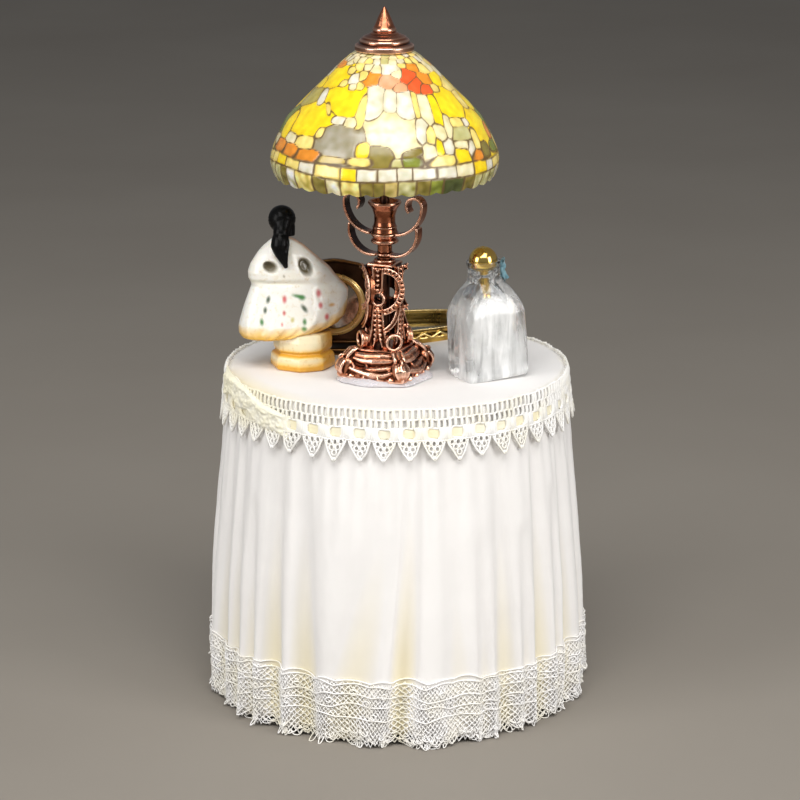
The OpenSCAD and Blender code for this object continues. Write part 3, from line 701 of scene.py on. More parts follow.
# ---------------------------------------------------------------- ribbon and ladder lace round the edge
# A cream ribbon lies behind a cotton trim with two ladder rows, a row of oval windows and hanging points.
# Both are glued to the edge of the top, over the gathers.
lace_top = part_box("top_lace")[1].z / mm
ribbon_low, ribbon_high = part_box("lace_ribbon")[0].z / mm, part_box("lace_ribbon")[1].z / mm
satin = cotton("cream_ribbon", (0.96, 0.92, 0.74), (0.95, 0.87, 0.6), 1.6, 0.2, rough=0.5, sheen=0.5)
bpy.ops.mesh.primitive_cylinder_add(
    vertices=288, radius=(board_rim + 0.35) * mm, depth=(ribbon_high - ribbon_low) * mm,
    end_fill_type="NOTHING", location=(0, 0, (ribbon_low + ribbon_high) / 2 * mm)
)
ribbon = bpy.context.object
ribbon.name = "ribbon_band"
bpy.ops.object.transform_apply(location=True, rotation=True, scale=True)
bpy.ops.object.mode_set(mode="EDIT")
bpy.ops.mesh.select_all(action="SELECT")
bpy.ops.mesh.subdivide(number_cuts=2)
bpy.ops.object.mode_set(mode="OBJECT")
co = points_of(ribbon) / mm
where = np.arctan2(co[:, 0], -co[:, 1])
co[:, :2] *= (1 + (0.12 * np.sin(37 * where) * 0.3 + 0.3) / board_rim)[:, None]
move_points(ribbon, co * mm)
edge_reach, satin_pitch = 32, 0.3
lay_uv(ribbon, np.stack([where * edge_reach / satin_pitch, co[:, 2] / satin_pitch], -1))
paint(ribbon, "stain_and_fold_shade", 0.5 + 0.5 * np.sin(9 * where))
ribbon.data.materials.clear()
ribbon.data.materials.append(satin)
finish_sheet(ribbon, 0.12)
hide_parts("lace_ribbon")
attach(ribbon, "table")

repeats, trim_reach = 46, 32.6
unit = 2 * math.pi / repeats
trim_thread = thread("trim_thread", (0.94, 0.93, 0.905), (0.93, 0.9, 0.8))


def on_edge(u, v, out, turn):
    """A point of the flat trim put round the table's edge.
    u runs along the trim and v down from its top edge, in millimetres."""
    u, v, out = np.broadcast_arrays(np.asarray(u, float), np.asarray(v, float), np.asarray(out, float))
    height = lace_top - v
    angle = turn + u / trim_reach
    loose = np.clip((v - 5.6) / 4, 0, 1)
    radius = board_rim + 0.14 + 0.122 * v + out + loose * (0.15 + 0.2 * np.sin(13 * angle))
    height = height + 0.07 * np.sin(19 * angle) + 0.06 * np.sin(41 * angle + 1)
    return np.stack([radius * np.sin(angle), -radius * np.cos(angle), height], -1)


pitch = unit * trim_reach
bars, edges, points, knots = [], [], [], []
for k in range(repeats):
    turn = -math.pi + (k + 0.5) * unit
    for i in range(4):
        u = (i - 1.5) * pitch / 4 + draw.normal(0, 0.08)
        bars.append(on_edge([u, u, u], [0.1 + draw.uniform(0, 0.25), 1.1, 2.1], [0, 0.14, 0], turn))
        u = (i - 1.2) * pitch / 4 + draw.normal(0, 0.08)
        bars.append(on_edge([u, u + 0.05, u], [2.3, 3.0, 3.7], [0, 0.12, 0], turn))
    for side in (-1, 1):
        for lane in (0.1, 0.36, 0.62, 0.88):
            bow = 0.42 * (1 - lane)
            bars.append(
                on_edge(
                    side * (pitch / 2 - 0.98 + lane + np.array([-bow, 0, 0.04, 0, -bow]) * 0.9),
                    [3.75, 4.2, 4.75, 5.3, 5.75], [0, 0.1, 0.14, 0.1, 0], turn
                )
            )
    tip = 9.35 + draw.normal(0, 0.14)
    lean = draw.normal(0, 0.12)
    half = 2.1 + draw.normal(0, 0.06)
    points.append(
        on_edge(
            [-half, -1.72, -1.12 + lean, lean - 0.36, lean + 0.36, 1.12 + lean, 1.72, half],
            [5.9, 6.9, 8.2, tip, tip, 8.2, 6.9, 5.9], [0, 0.1, 0.15, 0.1, 0.1, 0.15, 0.1, 0], turn
        )
    )
    ring = np.linspace(0, 2 * math.pi, 9)[:-1]
    for u, v, a, b in (
        (-1.12, 6.5, 0.46, 0.5), (0, 6.55, 0.46, 0.55), (1.12, 6.5, 0.46, 0.5),
        (-0.56 + lean / 2, 7.45, 0.46, 0.5), (0.56 + lean / 2, 7.45, 0.46, 0.5), (lean, 8.4, 0.44, 0.5),
        (lean, tip + 0.02, 0.3, 0.24)
    ):
        knots.append(
            on_edge(u + a * np.cos(ring), v + b * np.sin(ring), 0.12 + 0.06 * np.cos(2 * ring), turn)
        )
for v, thick in ((0.35, 0), (2.2, 0), (3.75, 0), (5.75, 0), (6.0, 0.05)):
    edges.append(on_edge(0, v + 0.05 * np.sin(fine * 92), 0.08 + thick, fine))
trim = join("ladder_lace", [
    threads("bars", bars, 0.76), threads("edges", edges, 0.36, closed=True, sides=1),
    threads("points", points, 0.46), threads("knots", knots, 0.4, closed=True),
])
trim.data.materials.clear()
trim.data.materials.append(trim_thread)
co = points_of(trim) / mm
where = np.arctan2(co[:, 0], -co[:, 1])
glue_and_shade_tint = (
    0.85 * np.exp(-(((where + 1.03) / 0.36) ** 2)) * np.clip((co[:, 2] - 55) / 4, 0, 1)
    + 0.14 * (0.5 + 0.5 * np.sin(3 * where + 2)) * np.clip((co[:, 2] - 57) / 4, 0, 1)
)
paint(trim, "stain_and_fold_shade", glue_and_shade_tint)
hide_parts("top_lace")
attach(trim, "table")

# The two ends of the trim lap over each other at the left, crumpled and soaked with glue that has set cream.
low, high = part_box("lace_overlap")
join_from, join_to = math.radians(-82), math.radians(-36)
bpy.ops.mesh.primitive_grid_add(x_subdivisions=150, y_subdivisions=44, size=2)
lap_over = bpy.context.object
lap_over.name = "glued_join"
flat = points_of(lap_over)
a = join_from + (flat[:, 0] + 1) / 2 * (join_to - join_from)
v = (1 - flat[:, 1]) / 2
rag = 0.35 * np.sin(9 * a * 3) + 0.3 * np.sin(23 * a + 1)
sink = np.interp(a, np.radians([-82, -68, -58, -48, -38]), [0, 0.1, 0.9, 2.6, 3.6])
height = high.z / mm + 0.45 - sink - v * (4.3 + rag)
x, y = edge_reach * np.sin(a), edge_reach * np.cos(a)
lump = ripple(x, y, height, 1.5) * 0.7 + ripple(x, y, height, 0.55, 9) * 0.5
fade = np.clip(np.minimum(1 - np.abs(flat[:, 0]), (1 - np.abs(flat[:, 1])) * 0.8) * 5, 0, 1)
radius = board_rim + 0.35 + 0.07 * (64 - height) + fade * (0.7 + lump * 0.42)
over = np.clip((height - table_top + 0.1) / 1.0, 0, 1)
radius = radius - 0.9 * over * fade
move_points(lap_over, np.stack([radius * np.sin(a), -radius * np.cos(a), height], -1) * mm)
soaked_pitch = 0.5
lay_uv(lap_over, np.stack([a * edge_reach / soaked_pitch, height / soaked_pitch], -1))
paint(lap_over, "stain_and_fold_shade", np.clip(0.7 + 0.5 * lump + 0.5 * np.exp(-(((a + 1.3) / 0.18) ** 2)), 0, 1))
lap_over.data.materials.append(
    cotton("glued_cotton", (0.97, 0.96, 0.91), (0.97, 0.92, 0.7), 1.4, 0.4, rough=0.55)
)
bpy.ops.object.mode_set(mode="EDIT")
bpy.ops.mesh.select_all(action="SELECT")
bpy.ops.mesh.normals_make_consistent(inside=False)
bpy.ops.object.mode_set(mode="OBJECT")
finish_sheet(lap_over, 0.3)
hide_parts("lace_overlap")
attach(lap_over, "table")

# ---------------------------------------------------------------- wax pad under the lamp
# A flattened lump of clear museum wax that sticks the lamp down and squeezes out all round the foot.


def middle_of(name):
    """The middle of a designed solid seen from above, in millimetres."""
    low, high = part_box(name)
    return (low.x + high.x) / 2 / mm, (low.y + high.y) / 2 / mm


def rise_of(name):
    """How far the bottom and the top of a designed solid are above the table top, in millimetres."""
    return [corner.z / mm - table_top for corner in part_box(name)]


def placed(at, site):
    """Points drawn about the origin, in millimetres, put on the table top at a site: x, y and degrees."""
    at = np.asarray(at, float)
    c, s = math.cos(math.radians(site[2])), math.sin(math.radians(site[2]))
    return np.stack(
        [
            site[0] + c * at[..., 0] - s * at[..., 1], site[1] + s * at[..., 0] + c * at[..., 1],
            table_top + at[..., 2]
        ],
        -1
    )


lamp_site = (*middle_of("lamp_stem"), -24)
wax = bpy.data.materials.new("museum_wax")
wax.use_nodes = True
tree = wax.node_tree
skin = tree.nodes["Principled BSDF"]
skin.label, skin.location = "clear wax", (500, 0)
skin.inputs["Transmission Weight"].default_value = 0.35
skin.inputs["IOR"].default_value = 1.43
skin.inputs["Subsurface Weight"].default_value = 0.3
skin.inputs["Subsurface Radius"].default_value = (0.0012, 0.0011, 0.001)
where = tree.nodes.new("ShaderNodeTexCoord")
where.label, where.location = "place in the wax", (-700, 0)
cloud = tree.nodes.new("ShaderNodeTexNoise")
cloud.label, cloud.location = "milky streaks", (-460, 120)
cloud.inputs["Scale"].default_value = 500
cloud.inputs["Detail"].default_value = 4
milk = tree.nodes.new("ShaderNodeValToRGB")
milk.label, milk.location = "clear to milky grey", (-200, 160)
milk.color_ramp.elements[0].color, milk.color_ramp.elements[1].color = (
    (0.95, 0.93, 0.95, 1), (0.82, 0.78, 0.82, 1)
)
press = tree.nodes.new("ShaderNodeMapRange")
press.label, press.location = "pressed shiny and dull", (-200, -120)
press.inputs["To Min"].default_value, press.inputs["To Max"].default_value = 0.12, 0.4
dents = tree.nodes.new("ShaderNodeBump")
dents.label, dents.location = "finger marks", (140, -220)
dents.inputs["Distance"].default_value = 0.0001
tree.links.new(where.outputs["Object"], cloud.inputs["Vector"])
tree.links.new(cloud.outputs["Fac"], milk.inputs["Fac"])
tree.links.new(milk.outputs["Color"], skin.inputs["Base Color"])
tree.links.new(cloud.outputs["Fac"], press.inputs["Value"])
tree.links.new(press.outputs["Result"], skin.inputs["Roughness"])
tree.links.new(cloud.outputs["Fac"], dents.inputs["Height"])
tree.links.new(dents.outputs["Normal"], skin.inputs["Normal"])
pad_r = (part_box("lamp_wax")[1].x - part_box("lamp_wax")[0].x) / 2 / mm
pad = turned(
    "wax_pad",
    [(0.01, 0.02), (pad_r - 0.6, 0.02), (pad_r, 0.2), (pad_r, 0.5), (pad_r - 0.5, 0.85)]
    + [(r, 0.95 + 0.02 * r) for r in np.linspace(pad_r - 1.2, 0.01, 14)],
    steps=120
)
co = points_of(pad) / mm
angle, reach = np.arctan2(co[:, 1], co[:, 0]), np.hypot(co[:, 0], co[:, 1])
square = 1 - 0.11 * (1 + np.cos(4 * angle)) / 2 + 0.05 * np.sin(3 * angle + 1) + 0.03 * np.sin(7 * angle)
co[:, :2] *= (square * np.where(angle < 0, 1.0, 0.97))[:, None]
co[:, 2] *= 1 + 0.35 * ripple(co[:, 0], co[:, 1], 0 * angle, 1.7)
move_points(pad, placed(co, lamp_site) * mm)
pad.data.materials.append(wax)
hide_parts("lamp_wax")
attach(pad, "table")

# ---------------------------------------------------------------- lamp foot
# The lamp is soft white metal, cast in parts, copper plated, washed black and rubbed bright on its edges.
# The foot is a square block hung with folded swags, with a ribbed shell and a leaf at each corner.
copper = metal(
    "antique_copper", (0.5, 0.19, 0.1), (0.26, 0.075, 0.035), (0.95, 0.6, 0.44), 0.24, 0.8, grain=1500,
    cast=0.00006
)


def casting(name, solids, ornament, voxel=0.14, soften=3, rounds=10, core=None):
    """Designed solids and ornament run together into one soft-edged casting.
    Its "hollow" attribute is above 0 in hollows, and on faces that look towards an upright line at core,
    where it is painted shade."""
    copies = []
    for solid in solids:
        copy = node[solid].copy()
        copy.data = node[solid].data.copy()
        copy.parent = None
        for key in list(copy.keys()):
            del copy[key]
        bpy.context.scene.collection.objects.link(copy)
        bpy.ops.object.select_all(action="DESELECT")
        bpy.context.view_layer.objects.active = copy
        bpy.ops.object.mode_set(mode="EDIT")
        bpy.ops.mesh.select_all(action="SELECT")
        bpy.ops.mesh.remove_doubles(threshold=0.002 * mm)
        bpy.ops.object.mode_set(mode="OBJECT")
        copies.append(copy)
    piece = join(name, copies + ornament)
    run = piece.modifiers.new("run together", "REMESH")
    run.mode, run.voxel_size, run.use_smooth_shade = "VOXEL", voxel * mm, True
    bpy.ops.object.modifier_apply(modifier=run.name)
    ease = piece.modifiers.new("soft edges", "SMOOTH")
    ease.factor, ease.iterations = 0.5, soften
    bpy.ops.object.modifier_apply(modifier=ease.name)
    piece.data.materials.clear()
    mark_hollows(piece, voxel, rounds, core)
    return piece


def normals_of(piece):
    normal = np.empty(len(piece.data.vertices) * 3, np.float32)
    piece.data.vertices.foreach_get("normal", normal)
    return normal.reshape(-1, 3)


def mark_hollows(piece, size, rounds=10, core=None):
    """Compares a piece with a smoothed copy of itself: what the smoothing fills in is a hollow."""
    co = points_of(piece)
    pairs = np.empty(len(piece.data.edges) * 2, np.int32)
    piece.data.edges.foreach_get("vertices", pairs)
    pairs = pairs.reshape(-1, 2)
    normal = normals_of(piece)
    count = np.bincount(pairs.ravel(), minlength=len(co))[:, None]
    eased = co.copy()
    for _ in range(rounds):
        total = np.zeros_like(co)
        for a, b in ((0, 1), (1, 0)):
            for k in range(3):
                total[:, k] += np.bincount(pairs[:, a], eased[pairs[:, b], k], minlength=len(co))
        eased = total / np.maximum(count, 1)
    depth = ((eased - co) * normal).sum(1) / (size * mm)
    # faces that look inwards towards the core are marked for darkening: painted shade inside an open casting
    if core is not None:
        out = co[:, :2] / mm - core
        out /= np.maximum(np.hypot(*out.T), 0.01)[:, None]
        depth = depth + 0.9 * np.clip(-(out * normal[:, :2]).sum(1), 0, 1)
    paint(piece, "hollow", depth)


def spin4(lines):
    """The same lines on the four sides of a square piece."""
    out = []
    for line in lines:
        x, y, z = np.asarray(line, float).T
        out += [np.stack(p, -1) for p in ((x, y, z), (-y, x, z), (-x, -y, z), (y, -x, z))]
    return out


def lamp_wires(name, lines, thick, taper=None, closed=False):
    return threads(name, [placed(line, lamp_site) for line in spin4(lines)], thick, closed, 2, taper)


def swag(z, sag, out, half, low_at):
    """A hanging fold from corner to corner, lowest a little to one side."""
    x = np.linspace(-half, half, 17)
    dip = np.cos(
        np.clip((x - low_at) / np.where(x < low_at, half + low_at, half - low_at), -1, 1) * math.pi / 2
    )
    return np.stack([x, -out - 0.35 * dip, z - sag * dip], -1)


foot_z = 0.8
swags = lamp_wires(
    "swags",
    [swag(4.6, 0.5, 5.0, 4.7, -1.5), swag(3.7, 1.3, 5.6, 5.0, -2.2), swag(2.9, 1.1, 6.1, 5.0, 1.4)], 1.25,
    [0.6, 1.0, 1.35, 1.0, 0.6]
)
roll = lamp_wires(
    "roll", [[(-4.4, -4.7, 5.0), (-1.5, -5.0, 4.85), (1.5, -4.9, 5.1), (4.4, -4.7, 5.2)]], 1.3,
    [0.8, 1.15, 1.0, 1.2, 0.8]
)
lobes = lamp_wires(
    "lobes",
    [[(x, -6.3, 1.0), (x + 1.1, -6.75, 1.3), (x + 2.3, -6.45, 1.0)] for x in (-5.0, -2.2, 0.7, 3.0)], 1.1,
    [0.4, 1.15, 0.4]
)
folds = lamp_wires(
    "folds",
    [
        [(x, -5.3, 4.2), (x + lean * 0.4, -6.1, 2.9), (x + lean, -6.6, 1.3)]
        for x, lean in ((-4.4, 2.2), (-1.6, 1.9), (1.4, -1.7), (4.5, -2.0))
    ],
    0.7, [0.5, 1.1, 0.8]
)
shell_at = 5.55
ribs = []
for fan in np.linspace(-0.85, 0.85, 6):
    up = np.linspace(0, 1, 6)
    side_way = fan * 1.5 * np.sin(up * 2.2)
    stand = shell_at + 0.95 * np.sin(up * math.pi) * (1 - 0.4 * abs(fan)) + 0.3
    ribs.append(
        np.stack(
            [
                stand + side_way * 0.7, -stand + side_way * 0.7,
                foot_z + 0.2 + 3.9 * up * (1 - 0.18 * abs(fan))
            ],
            -1
        )
    )
shells = lamp_wires("shells", ribs, 0.62, [0.8, 1.1, 1.15, 1.0, 0.6])
leaves = lamp_wires(
    "leaves",
    [
        [
            (3.9 + s, -3.9 + s, 6.2), (4.6 + s, -4.6 + s, 5.9), (5.3 + s, -5.3 + s, 5.0),
            (5.6 + s, -5.6 + s, 4.3)
        ]
        for s in (-0.6, 0, 0.6)
    ],
    0.75, [0.5, 1.1, 1.1, 0.5]
)
curls = lamp_wires(
    "curls",
    [[
        (5.95 + 0.45 * math.cos(t), -5.95 - 0.45 * math.cos(t), 4.5 + 0.6 * math.sin(t))
        for t in np.linspace(0, 6, 12)
    ]],
    0.45
)
foot = casting(
    "lamp_foot_casting", ["lamp_foot"], [swags, roll, lobes, folds, shells, leaves, curls], rounds=22
)
foot.data.materials.append(copper)
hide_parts("lamp_foot")
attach(foot, "table")

# ---------------------------------------------------------------- lamp column
# Open column: four ladder straps with an eyelet, splayed at the bottom, and harp-shaped corner scrolls.
# The rails and rungs stand up from the straps, and everything that faces inwards is painted near black as
# shade.
strap_out = 3.15
eyelet = np.linspace(0, 2 * math.pi, 17)[:-1]
rails = lamp_wires(
    "rails",
    [[(s * x, -strap_out, z) for x, z in ((1.0, 21.4), (0.85, 18), (0.6, 16.9))] for s in (-1, 1)]
    + [
        [(s * x, -strap_out, z) for x, z in ((0.75, 14.2), (0.95, 12.4), (1.2, 9.6), (2.15, 6.2))]
        for s in (-1, 1)
    ]
    + [
        [(s * x, -strap_out, z) for x, z in ((0.2, 13.8), (0.12, 10.6), (0.3, 8.6), (0.95, 6.4))]
        for s in (-1, 1)
    ],
    0.42
)
eyelets = lamp_wires(
    "eyelets", [[(1.22 * math.cos(t), -strap_out, 15.5 + 1.22 * math.sin(t)) for t in eyelet]], 0.55,
    closed=True
)
studs = [[(0, -strap_out - 0.05, z), (0.02, -strap_out - 0.3, z)] for z in (17.2, 18.1, 19, 19.9, 20.8)]
studs += [
    [
        (s * (0.36 + (13.2 - z) * 0.045), -strap_out - 0.05, z),
        (s * (0.37 + (13.2 - z) * 0.05), -strap_out - 0.28, z)
    ]
    for z in (13.2, 12.3, 11.4, 10.5, 9.6, 8.7, 7.8)
    for s in (-1, 1)
]
studs = lamp_wires("studs", studs, 0.52)


def corner_line(out, centre, radius, start, end, count=19):
    """An arc that faces outwards at a corner, its angles in degrees.
    out is how far the corner is from the middle, and centre is across it and up."""
    a = np.radians(np.linspace(start, end, count))
    across, up = centre[0] + radius * np.cos(a), centre[1] + radius * np.sin(a)
    return np.stack([(out + across) * math.sqrt(0.5), (across - out) * math.sqrt(0.5), up], -1)


harp_edges = lamp_wires(
    "harp_edges",
    [corner_line(3.9, (-2, 17.2), 3.9 + s, -86, 86) for s in (-0.42, 0.42)]
    + [corner_line(3.9, (-3.6, 14), 4.75 + s, -66, 8) for s in (-0.3, 0.3)],
    0.4
)
harp_dots = corner_line(3.95, (-2, 17.2), 3.9, -74, 74, 13)
harp_dots = lamp_wires("harp_dots", [[p, p + np.array([0.12, -0.12, 0])] for p in harp_dots], 0.5)
rings = lamp_wires(
    "rings", [corner_line(out, (0, 7.6), 1.42, 0, 338, 16) for out in (4.1, 4.85)], 0.55, closed=True
)
column = casting(
    "lamp_column_casting", ["lamp_column"], [rails, eyelets, studs, harp_edges, harp_dots, rings],
    voxel=0.13, soften=2, rounds=10, core=lamp_site[:2]
)
column.data.materials.append(copper)
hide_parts("lamp_column")
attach(column, "table")

# ---------------------------------------------------------------- neck, vase and scrolls
# A turned neck with two rings, a flared vase above it, and two pairs of straps curled up on either side.
# Each is cast by itself and soldered on, and the edges of the straps are rubbed to bright pink copper.


def lamp_ring(radius, z, thick):
    return threads(
        "ring",
        [
            placed(
                [
                    (radius * math.cos(t), radius * math.sin(t), z)
                    for t in np.linspace(0, 2 * math.pi, 33)[:-1]
                ],
                lamp_site
            )
        ],
        thick, closed=True, sides=2
    )


for name, solid, extra, soft in (
    (
        "lamp_neck_casting", "lamp_neck",
        [lamp_ring(2.15, 25.9, 0.9), lamp_ring(1.5, 23.4, 0.6), lamp_ring(1.75, 22.2, 0.7)], 4
    ),
    (
        "lamp_vase_casting", "lamp_vase",
        [lamp_ring(2.35, 27.2, 0.6), lamp_ring(2.1, 28.5, 0.4), lamp_ring(2.85, 33.0, 0.5)], 2
    ),
    ("lamp_lower_scroll_casting", "lamp_lower_scrolls", [], 3),
    ("lamp_upper_scroll_casting", "lamp_upper_scrolls", [], 3)
):
    # on the scrolls, faces that look in towards the rod are darkened as painted shade
    part = casting(
        name, [solid], extra, voxel=0.11, soften=soft, rounds=8,
        core=lamp_site[:2] if "scroll" in name else None
    )
    part.data.materials.append(copper)
    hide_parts(solid)
    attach(part, "table")

# ---------------------------------------------------------------- rod and seat
# The rod runs from the foot to the finial. It is plated with the rest, and coloured near black as painted
# shade for the dark inside of the open column.
# A loose brass washer near its top carries the shade.
dress(
    "lamp_stem",
    metal("shade_black_copper", (0.12, 0.055, 0.035), (0.05, 0.025, 0.02), (0.5, 0.25, 0.15), 0.35, 0.3)
)
dress("shade_seat", metal("turned_brass", (0.78, 0.55, 0.2), (0.5, 0.32, 0.1), (0.95, 0.78, 0.4), 0.22, 0.2))

# ---------------------------------------------------------------- lamp shade
# A thin domed shade of cast resin, painted in enamels as leaded glass and thickly varnished.
# Petals, leaves and buds in yellow, cream and grey-green stand over two rows of oblong panes.
# The rim is scalloped.
rim_z, shade_top = rise_of("shade")
outer = [
    (3.4, shade_top), (4.6, 60.95), (5.9, 60.55), (8.65, 58.2), (11.5, 55.2), (15.1, 51.7), (17.9, 48.7),
    (19.5, 45.6), (20.55, 42.8), (20.9, 41.0), (20.6, 39.6), (20.2, 38.7), (19.95, rim_z)
]
inner = [
    (19.25, rim_z + 0.25), (19.75, 39.7), (20.05, 41.1), (19.75, 42.6), (18.75, 45.2), (17.15, 48.2),
    (14.45, 51.1), (10.85, 54.5), (7.95, 57.3), (5.25, 59.65), (4.15, 60.15), (3.3, shade_top - 0.8)
]


def eased_line(points, count, passes):
    """Evenly spaced points along a line, with its corners rounded off."""
    points = np.array(points)
    run = np.concatenate([[0], np.cumsum(np.hypot(*np.diff(points, axis=0).T))])
    even = np.stack([np.interp(np.linspace(0, run[-1], count), run, points[:, k]) for k in range(2)], -1)
    for _ in range(passes):
        even[1:-1] = (even[:-2] + 2 * even[1:-1] + even[2:]) / 4
    return even


collar_r, outer_count = 1.25, 118
outline = [
    (collar_r, shade_top - 0.02), *eased_line(outer, outer_count, 10), *eased_line(inner, 22, 1),
    (collar_r, shade_top - 0.8), (collar_r, shade_top - 0.02)
]
shade = turned("painted_shade", outline, steps=650, smooth=60)
co = points_of(shade) / mm
turn, height, reach = np.arctan2(co[:, 0], -co[:, 1]), co[:, 2].copy(), np.hypot(co[:, 0], co[:, 1])
near_rim = np.clip((39.9 - height) / 1.8, 0, 1)
co[:, 2] += near_rim * 0.42 * (1 - np.abs(np.sin(18.5 * turn + 0.6 * np.sin(3 * turn))))
swell = 0.12 * ripple(co[:, 0], co[:, 1], co[:, 2], 5)
co[:, :2] *= (1 + swell / np.maximum(reach, 3))[:, None]

# the panes: angle from the front, height, half width, half height down the slope, lean in degrees, enamel
enamels = {
    "yellow": (1.0, 0.73, 0.012), "straw": (0.93, 0.76, 0.24), "cream": (0.84, 0.78, 0.5),
    "white": (0.78, 0.76, 0.64), "grey": (0.37, 0.335, 0.24), "olive": (0.26, 0.21, 0.04),
    "green": (0.22, 0.26, 0.03), "sage": (0.56, 0.54, 0.24), "pine": (0.07, 0.09, 0.02),
    "orange": (0.82, 0.3, 0.03), "red": (0.86, 0.12, 0.03), "pink": (0.85, 0.42, 0.24),
    "tan": (0.6, 0.48, 0.16), "brown": (0.5, 0.42, 0.1), "rose": (0.56, 0.4, 0.22)
}
panes = [
    (-61, 57.0, 3.3, 1.9, 10, "yellow"), (-33, 53.4, 3.3, 3.0, 0, "yellow"),
    (-50, 50.3, 4.8, 2.9, 20, "yellow"), (57, 52.3, 3.5, 2.9, -20, "yellow"),
    (70, 48.6, 3.3, 4.0, -14, "yellow"), (-26, 47.4, 4.0, 2.8, -8, "grey"),
    (7, 49.0, 4.2, 3.6, -22, "cream"), (-7, 53.7, 1.35, 3.3, 0, "white"),
    (4.5, 53.8, 1.15, 2.1, 0, "white"), (16, 53.0, 1.5, 2.8, -8, "white"),
    (22, 49.2, 1.15, 2.2, -12, "white"), (-16.5, 52.2, 0.72, 3.3, 0, "straw"),
    (-31, 50.7, 1.5, 0.85, 0, "white"), (-21, 50.5, 1.3, 0.95, 0, "cream"),
    (-57, 53.6, 0.7, 1.7, 28, "white"), (-76, 53.2, 2.6, 1.5, 18, "brown"),
    (-88, 48.6, 2.6, 2.9, 0, "green"), (-73, 48.4, 1.7, 2.3, 12, "yellow"),
    (-76, 58.8, 1.5, 0.9, 0, "orange"), (-82, 55.6, 1.7, 1.1, 0, "yellow"),
    (-62, 46.7, 1.7, 0.9, 0, "cream"), (-49, 46.5, 2.1, 1.1, 0, "straw"),
    (-83, 45.7, 2.2, 0.85, 0, "cream"), (-71, 45.3, 2.2, 0.8, 0, "orange"),
    (-58, 45.1, 2.1, 0.8, 0, "orange"), (-42, 52.0, 0.6, 1.9, 34, "straw"),
    (-39, 48.6, 0.9, 1.1, 0, "straw"), (-43, 44.8, 2.5, 0.75, 0, "orange"),
    (-28, 44.4, 2.6, 0.55, 0, "tan"), (-12, 46.2, 1.2, 1.3, 0, "yellow"), (-13, 44.4, 2.0, 0.6, 0, "straw"),
    (-1, 45.6, 1.9, 1.7, 0, "olive"), (14.5, 45.7, 1.7, 0.75, 14, "olive"),
    (13.5, 44.3, 1.5, 0.7, 0, "green"), (6.5, 44.1, 0.95, 0.75, 0, "sage"),
    (24, 53.2, 0.5, 2.5, -6, "straw"), (31, 52.4, 1.05, 2.5, -10, "cream"),
    (39, 52.2, 0.95, 3.0, -14, "yellow"), (27, 48.2, 0.9, 1.6, 0, "straw"),
    (34, 48.7, 0.95, 1.5, 0, "cream"), (25, 45.9, 1.1, 1.5, 0, "cream"), (31, 46.4, 0.7, 1.5, 0, "yellow"),
    (37, 46.1, 1.0, 1.3, 10, "white"), (32, 44.3, 2.3, 0.7, 0, "straw"),
    (42, 49.7, 0.75, 2.1, -14, "cream"), (50, 49.9, 1.8, 0.9, 0, "straw"), (58, 49.6, 0.9, 0.9, 0, "white"),
    (49, 47.9, 2.0, 1.3, 0, "sage"), (47, 46.2, 1.7, 0.85, 0, "cream"), (44, 44.8, 1.5, 1.1, 0, "yellow"),
    (60, 46.8, 1.0, 2.1, -8, "straw"), (53, 45.5, 0.8, 1.2, 0, "white"), (57, 44.2, 1.3, 0.75, 0, "orange"),
    (75, 52.4, 1.3, 2.1, -14, "straw"), (86, 51.8, 1.9, 2.0, 0, "yellow"),
    (82, 47.0, 1.6, 1.6, 0, "orange"), (66, 44.9, 1.5, 1.3, 0, "olive"), (78, 44.6, 1.9, 0.9, 0, "green"),
    (90, 45.0, 1.7, 1.1, 0, "straw"), (65, 56.4, 1.4, 1.0, 0, "yellow"), (78, 55.2, 1.7, 1.2, 0, "straw"),
    (90, 57.2, 1.2, 1.1, 0, "cream"), (-14, 57.2, 1.35, 1.2, 0, "orange"), (5, 56.8, 1.7, 1.1, 0, "pink"),
    (15, 56.0, 1.1, 0.9, 0, "pink"), (25, 57.5, 1.1, 1.4, -10, "red"), (31, 56.0, 1.2, 1.2, -20, "red"),
    (41, 55.3, 1.3, 0.95, -10, "red"), (38, 59.0, 0.9, 0.75, 0, "orange"),
    (48, 56.8, 1.0, 0.9, 0, "orange"), (16, 58.0, 0.95, 0.9, 0, "cream"), (6, 58.9, 1.6, 0.9, 0, "white"),
    (-34, 57.1, 0.9, 0.95, 0, "white"), (-31, 55.8, 0.75, 0.7, 0, "cream"),
    (-24, 56.0, 0.65, 0.7, 0, "straw"), (-23, 57.6, 0.8, 0.8, 0, "straw"), (-9, 58.8, 0.9, 0.8, 0, "cream"),
    (-44, 58.2, 0.9, 0.8, 0, "straw"), (-44, 56.3, 0.8, 0.8, 0, "straw"), (-22, 59.2, 0.8, 0.7, 0, "cream"),
    (-34, 59.0, 0.8, 0.7, 0, "straw"), (57, 58.4, 0.9, 0.8, 0, "straw"), (70, 58.6, 0.9, 0.8, 0, "cream"),
    (84, 59.2, 0.9, 0.8, 0, "straw"), (52, 55.2, 0.8, 0.8, 0, "straw"), (25, 59.4, 0.8, 0.6, 0, "straw"),
    (-58, 59.6, 0.8, 0.7, 0, "cream")
]
mosaic = np.random.default_rng(3)
sites = []
for half in (0, 180):
    for a, h, wide, tall, lean, enamel in panes:
        sites.append((a + half, h, wide, tall, lean, enamels[enamel]))
for ring_h, ring_r in ((59.9, 6.7), (60.7, 5.5)):
    count = int(2 * math.pi * ring_r / 1.5)
    for k in range(count):
        name = ("cream", "white", "straw", "cream", "sage")[int(mosaic.integers(5))]
        sites.append((
            360 * (k + mosaic.uniform(-0.2, 0.2)) / count, ring_h + mosaic.uniform(-0.15, 0.15), 0.72, 0.6,
            0, enamels[name]
        ))
slope_at = np.array(outline[1:outer_count + 1])
along = np.concatenate([[0], np.cumsum(np.hypot(*np.diff(slope_at, axis=0).T))])


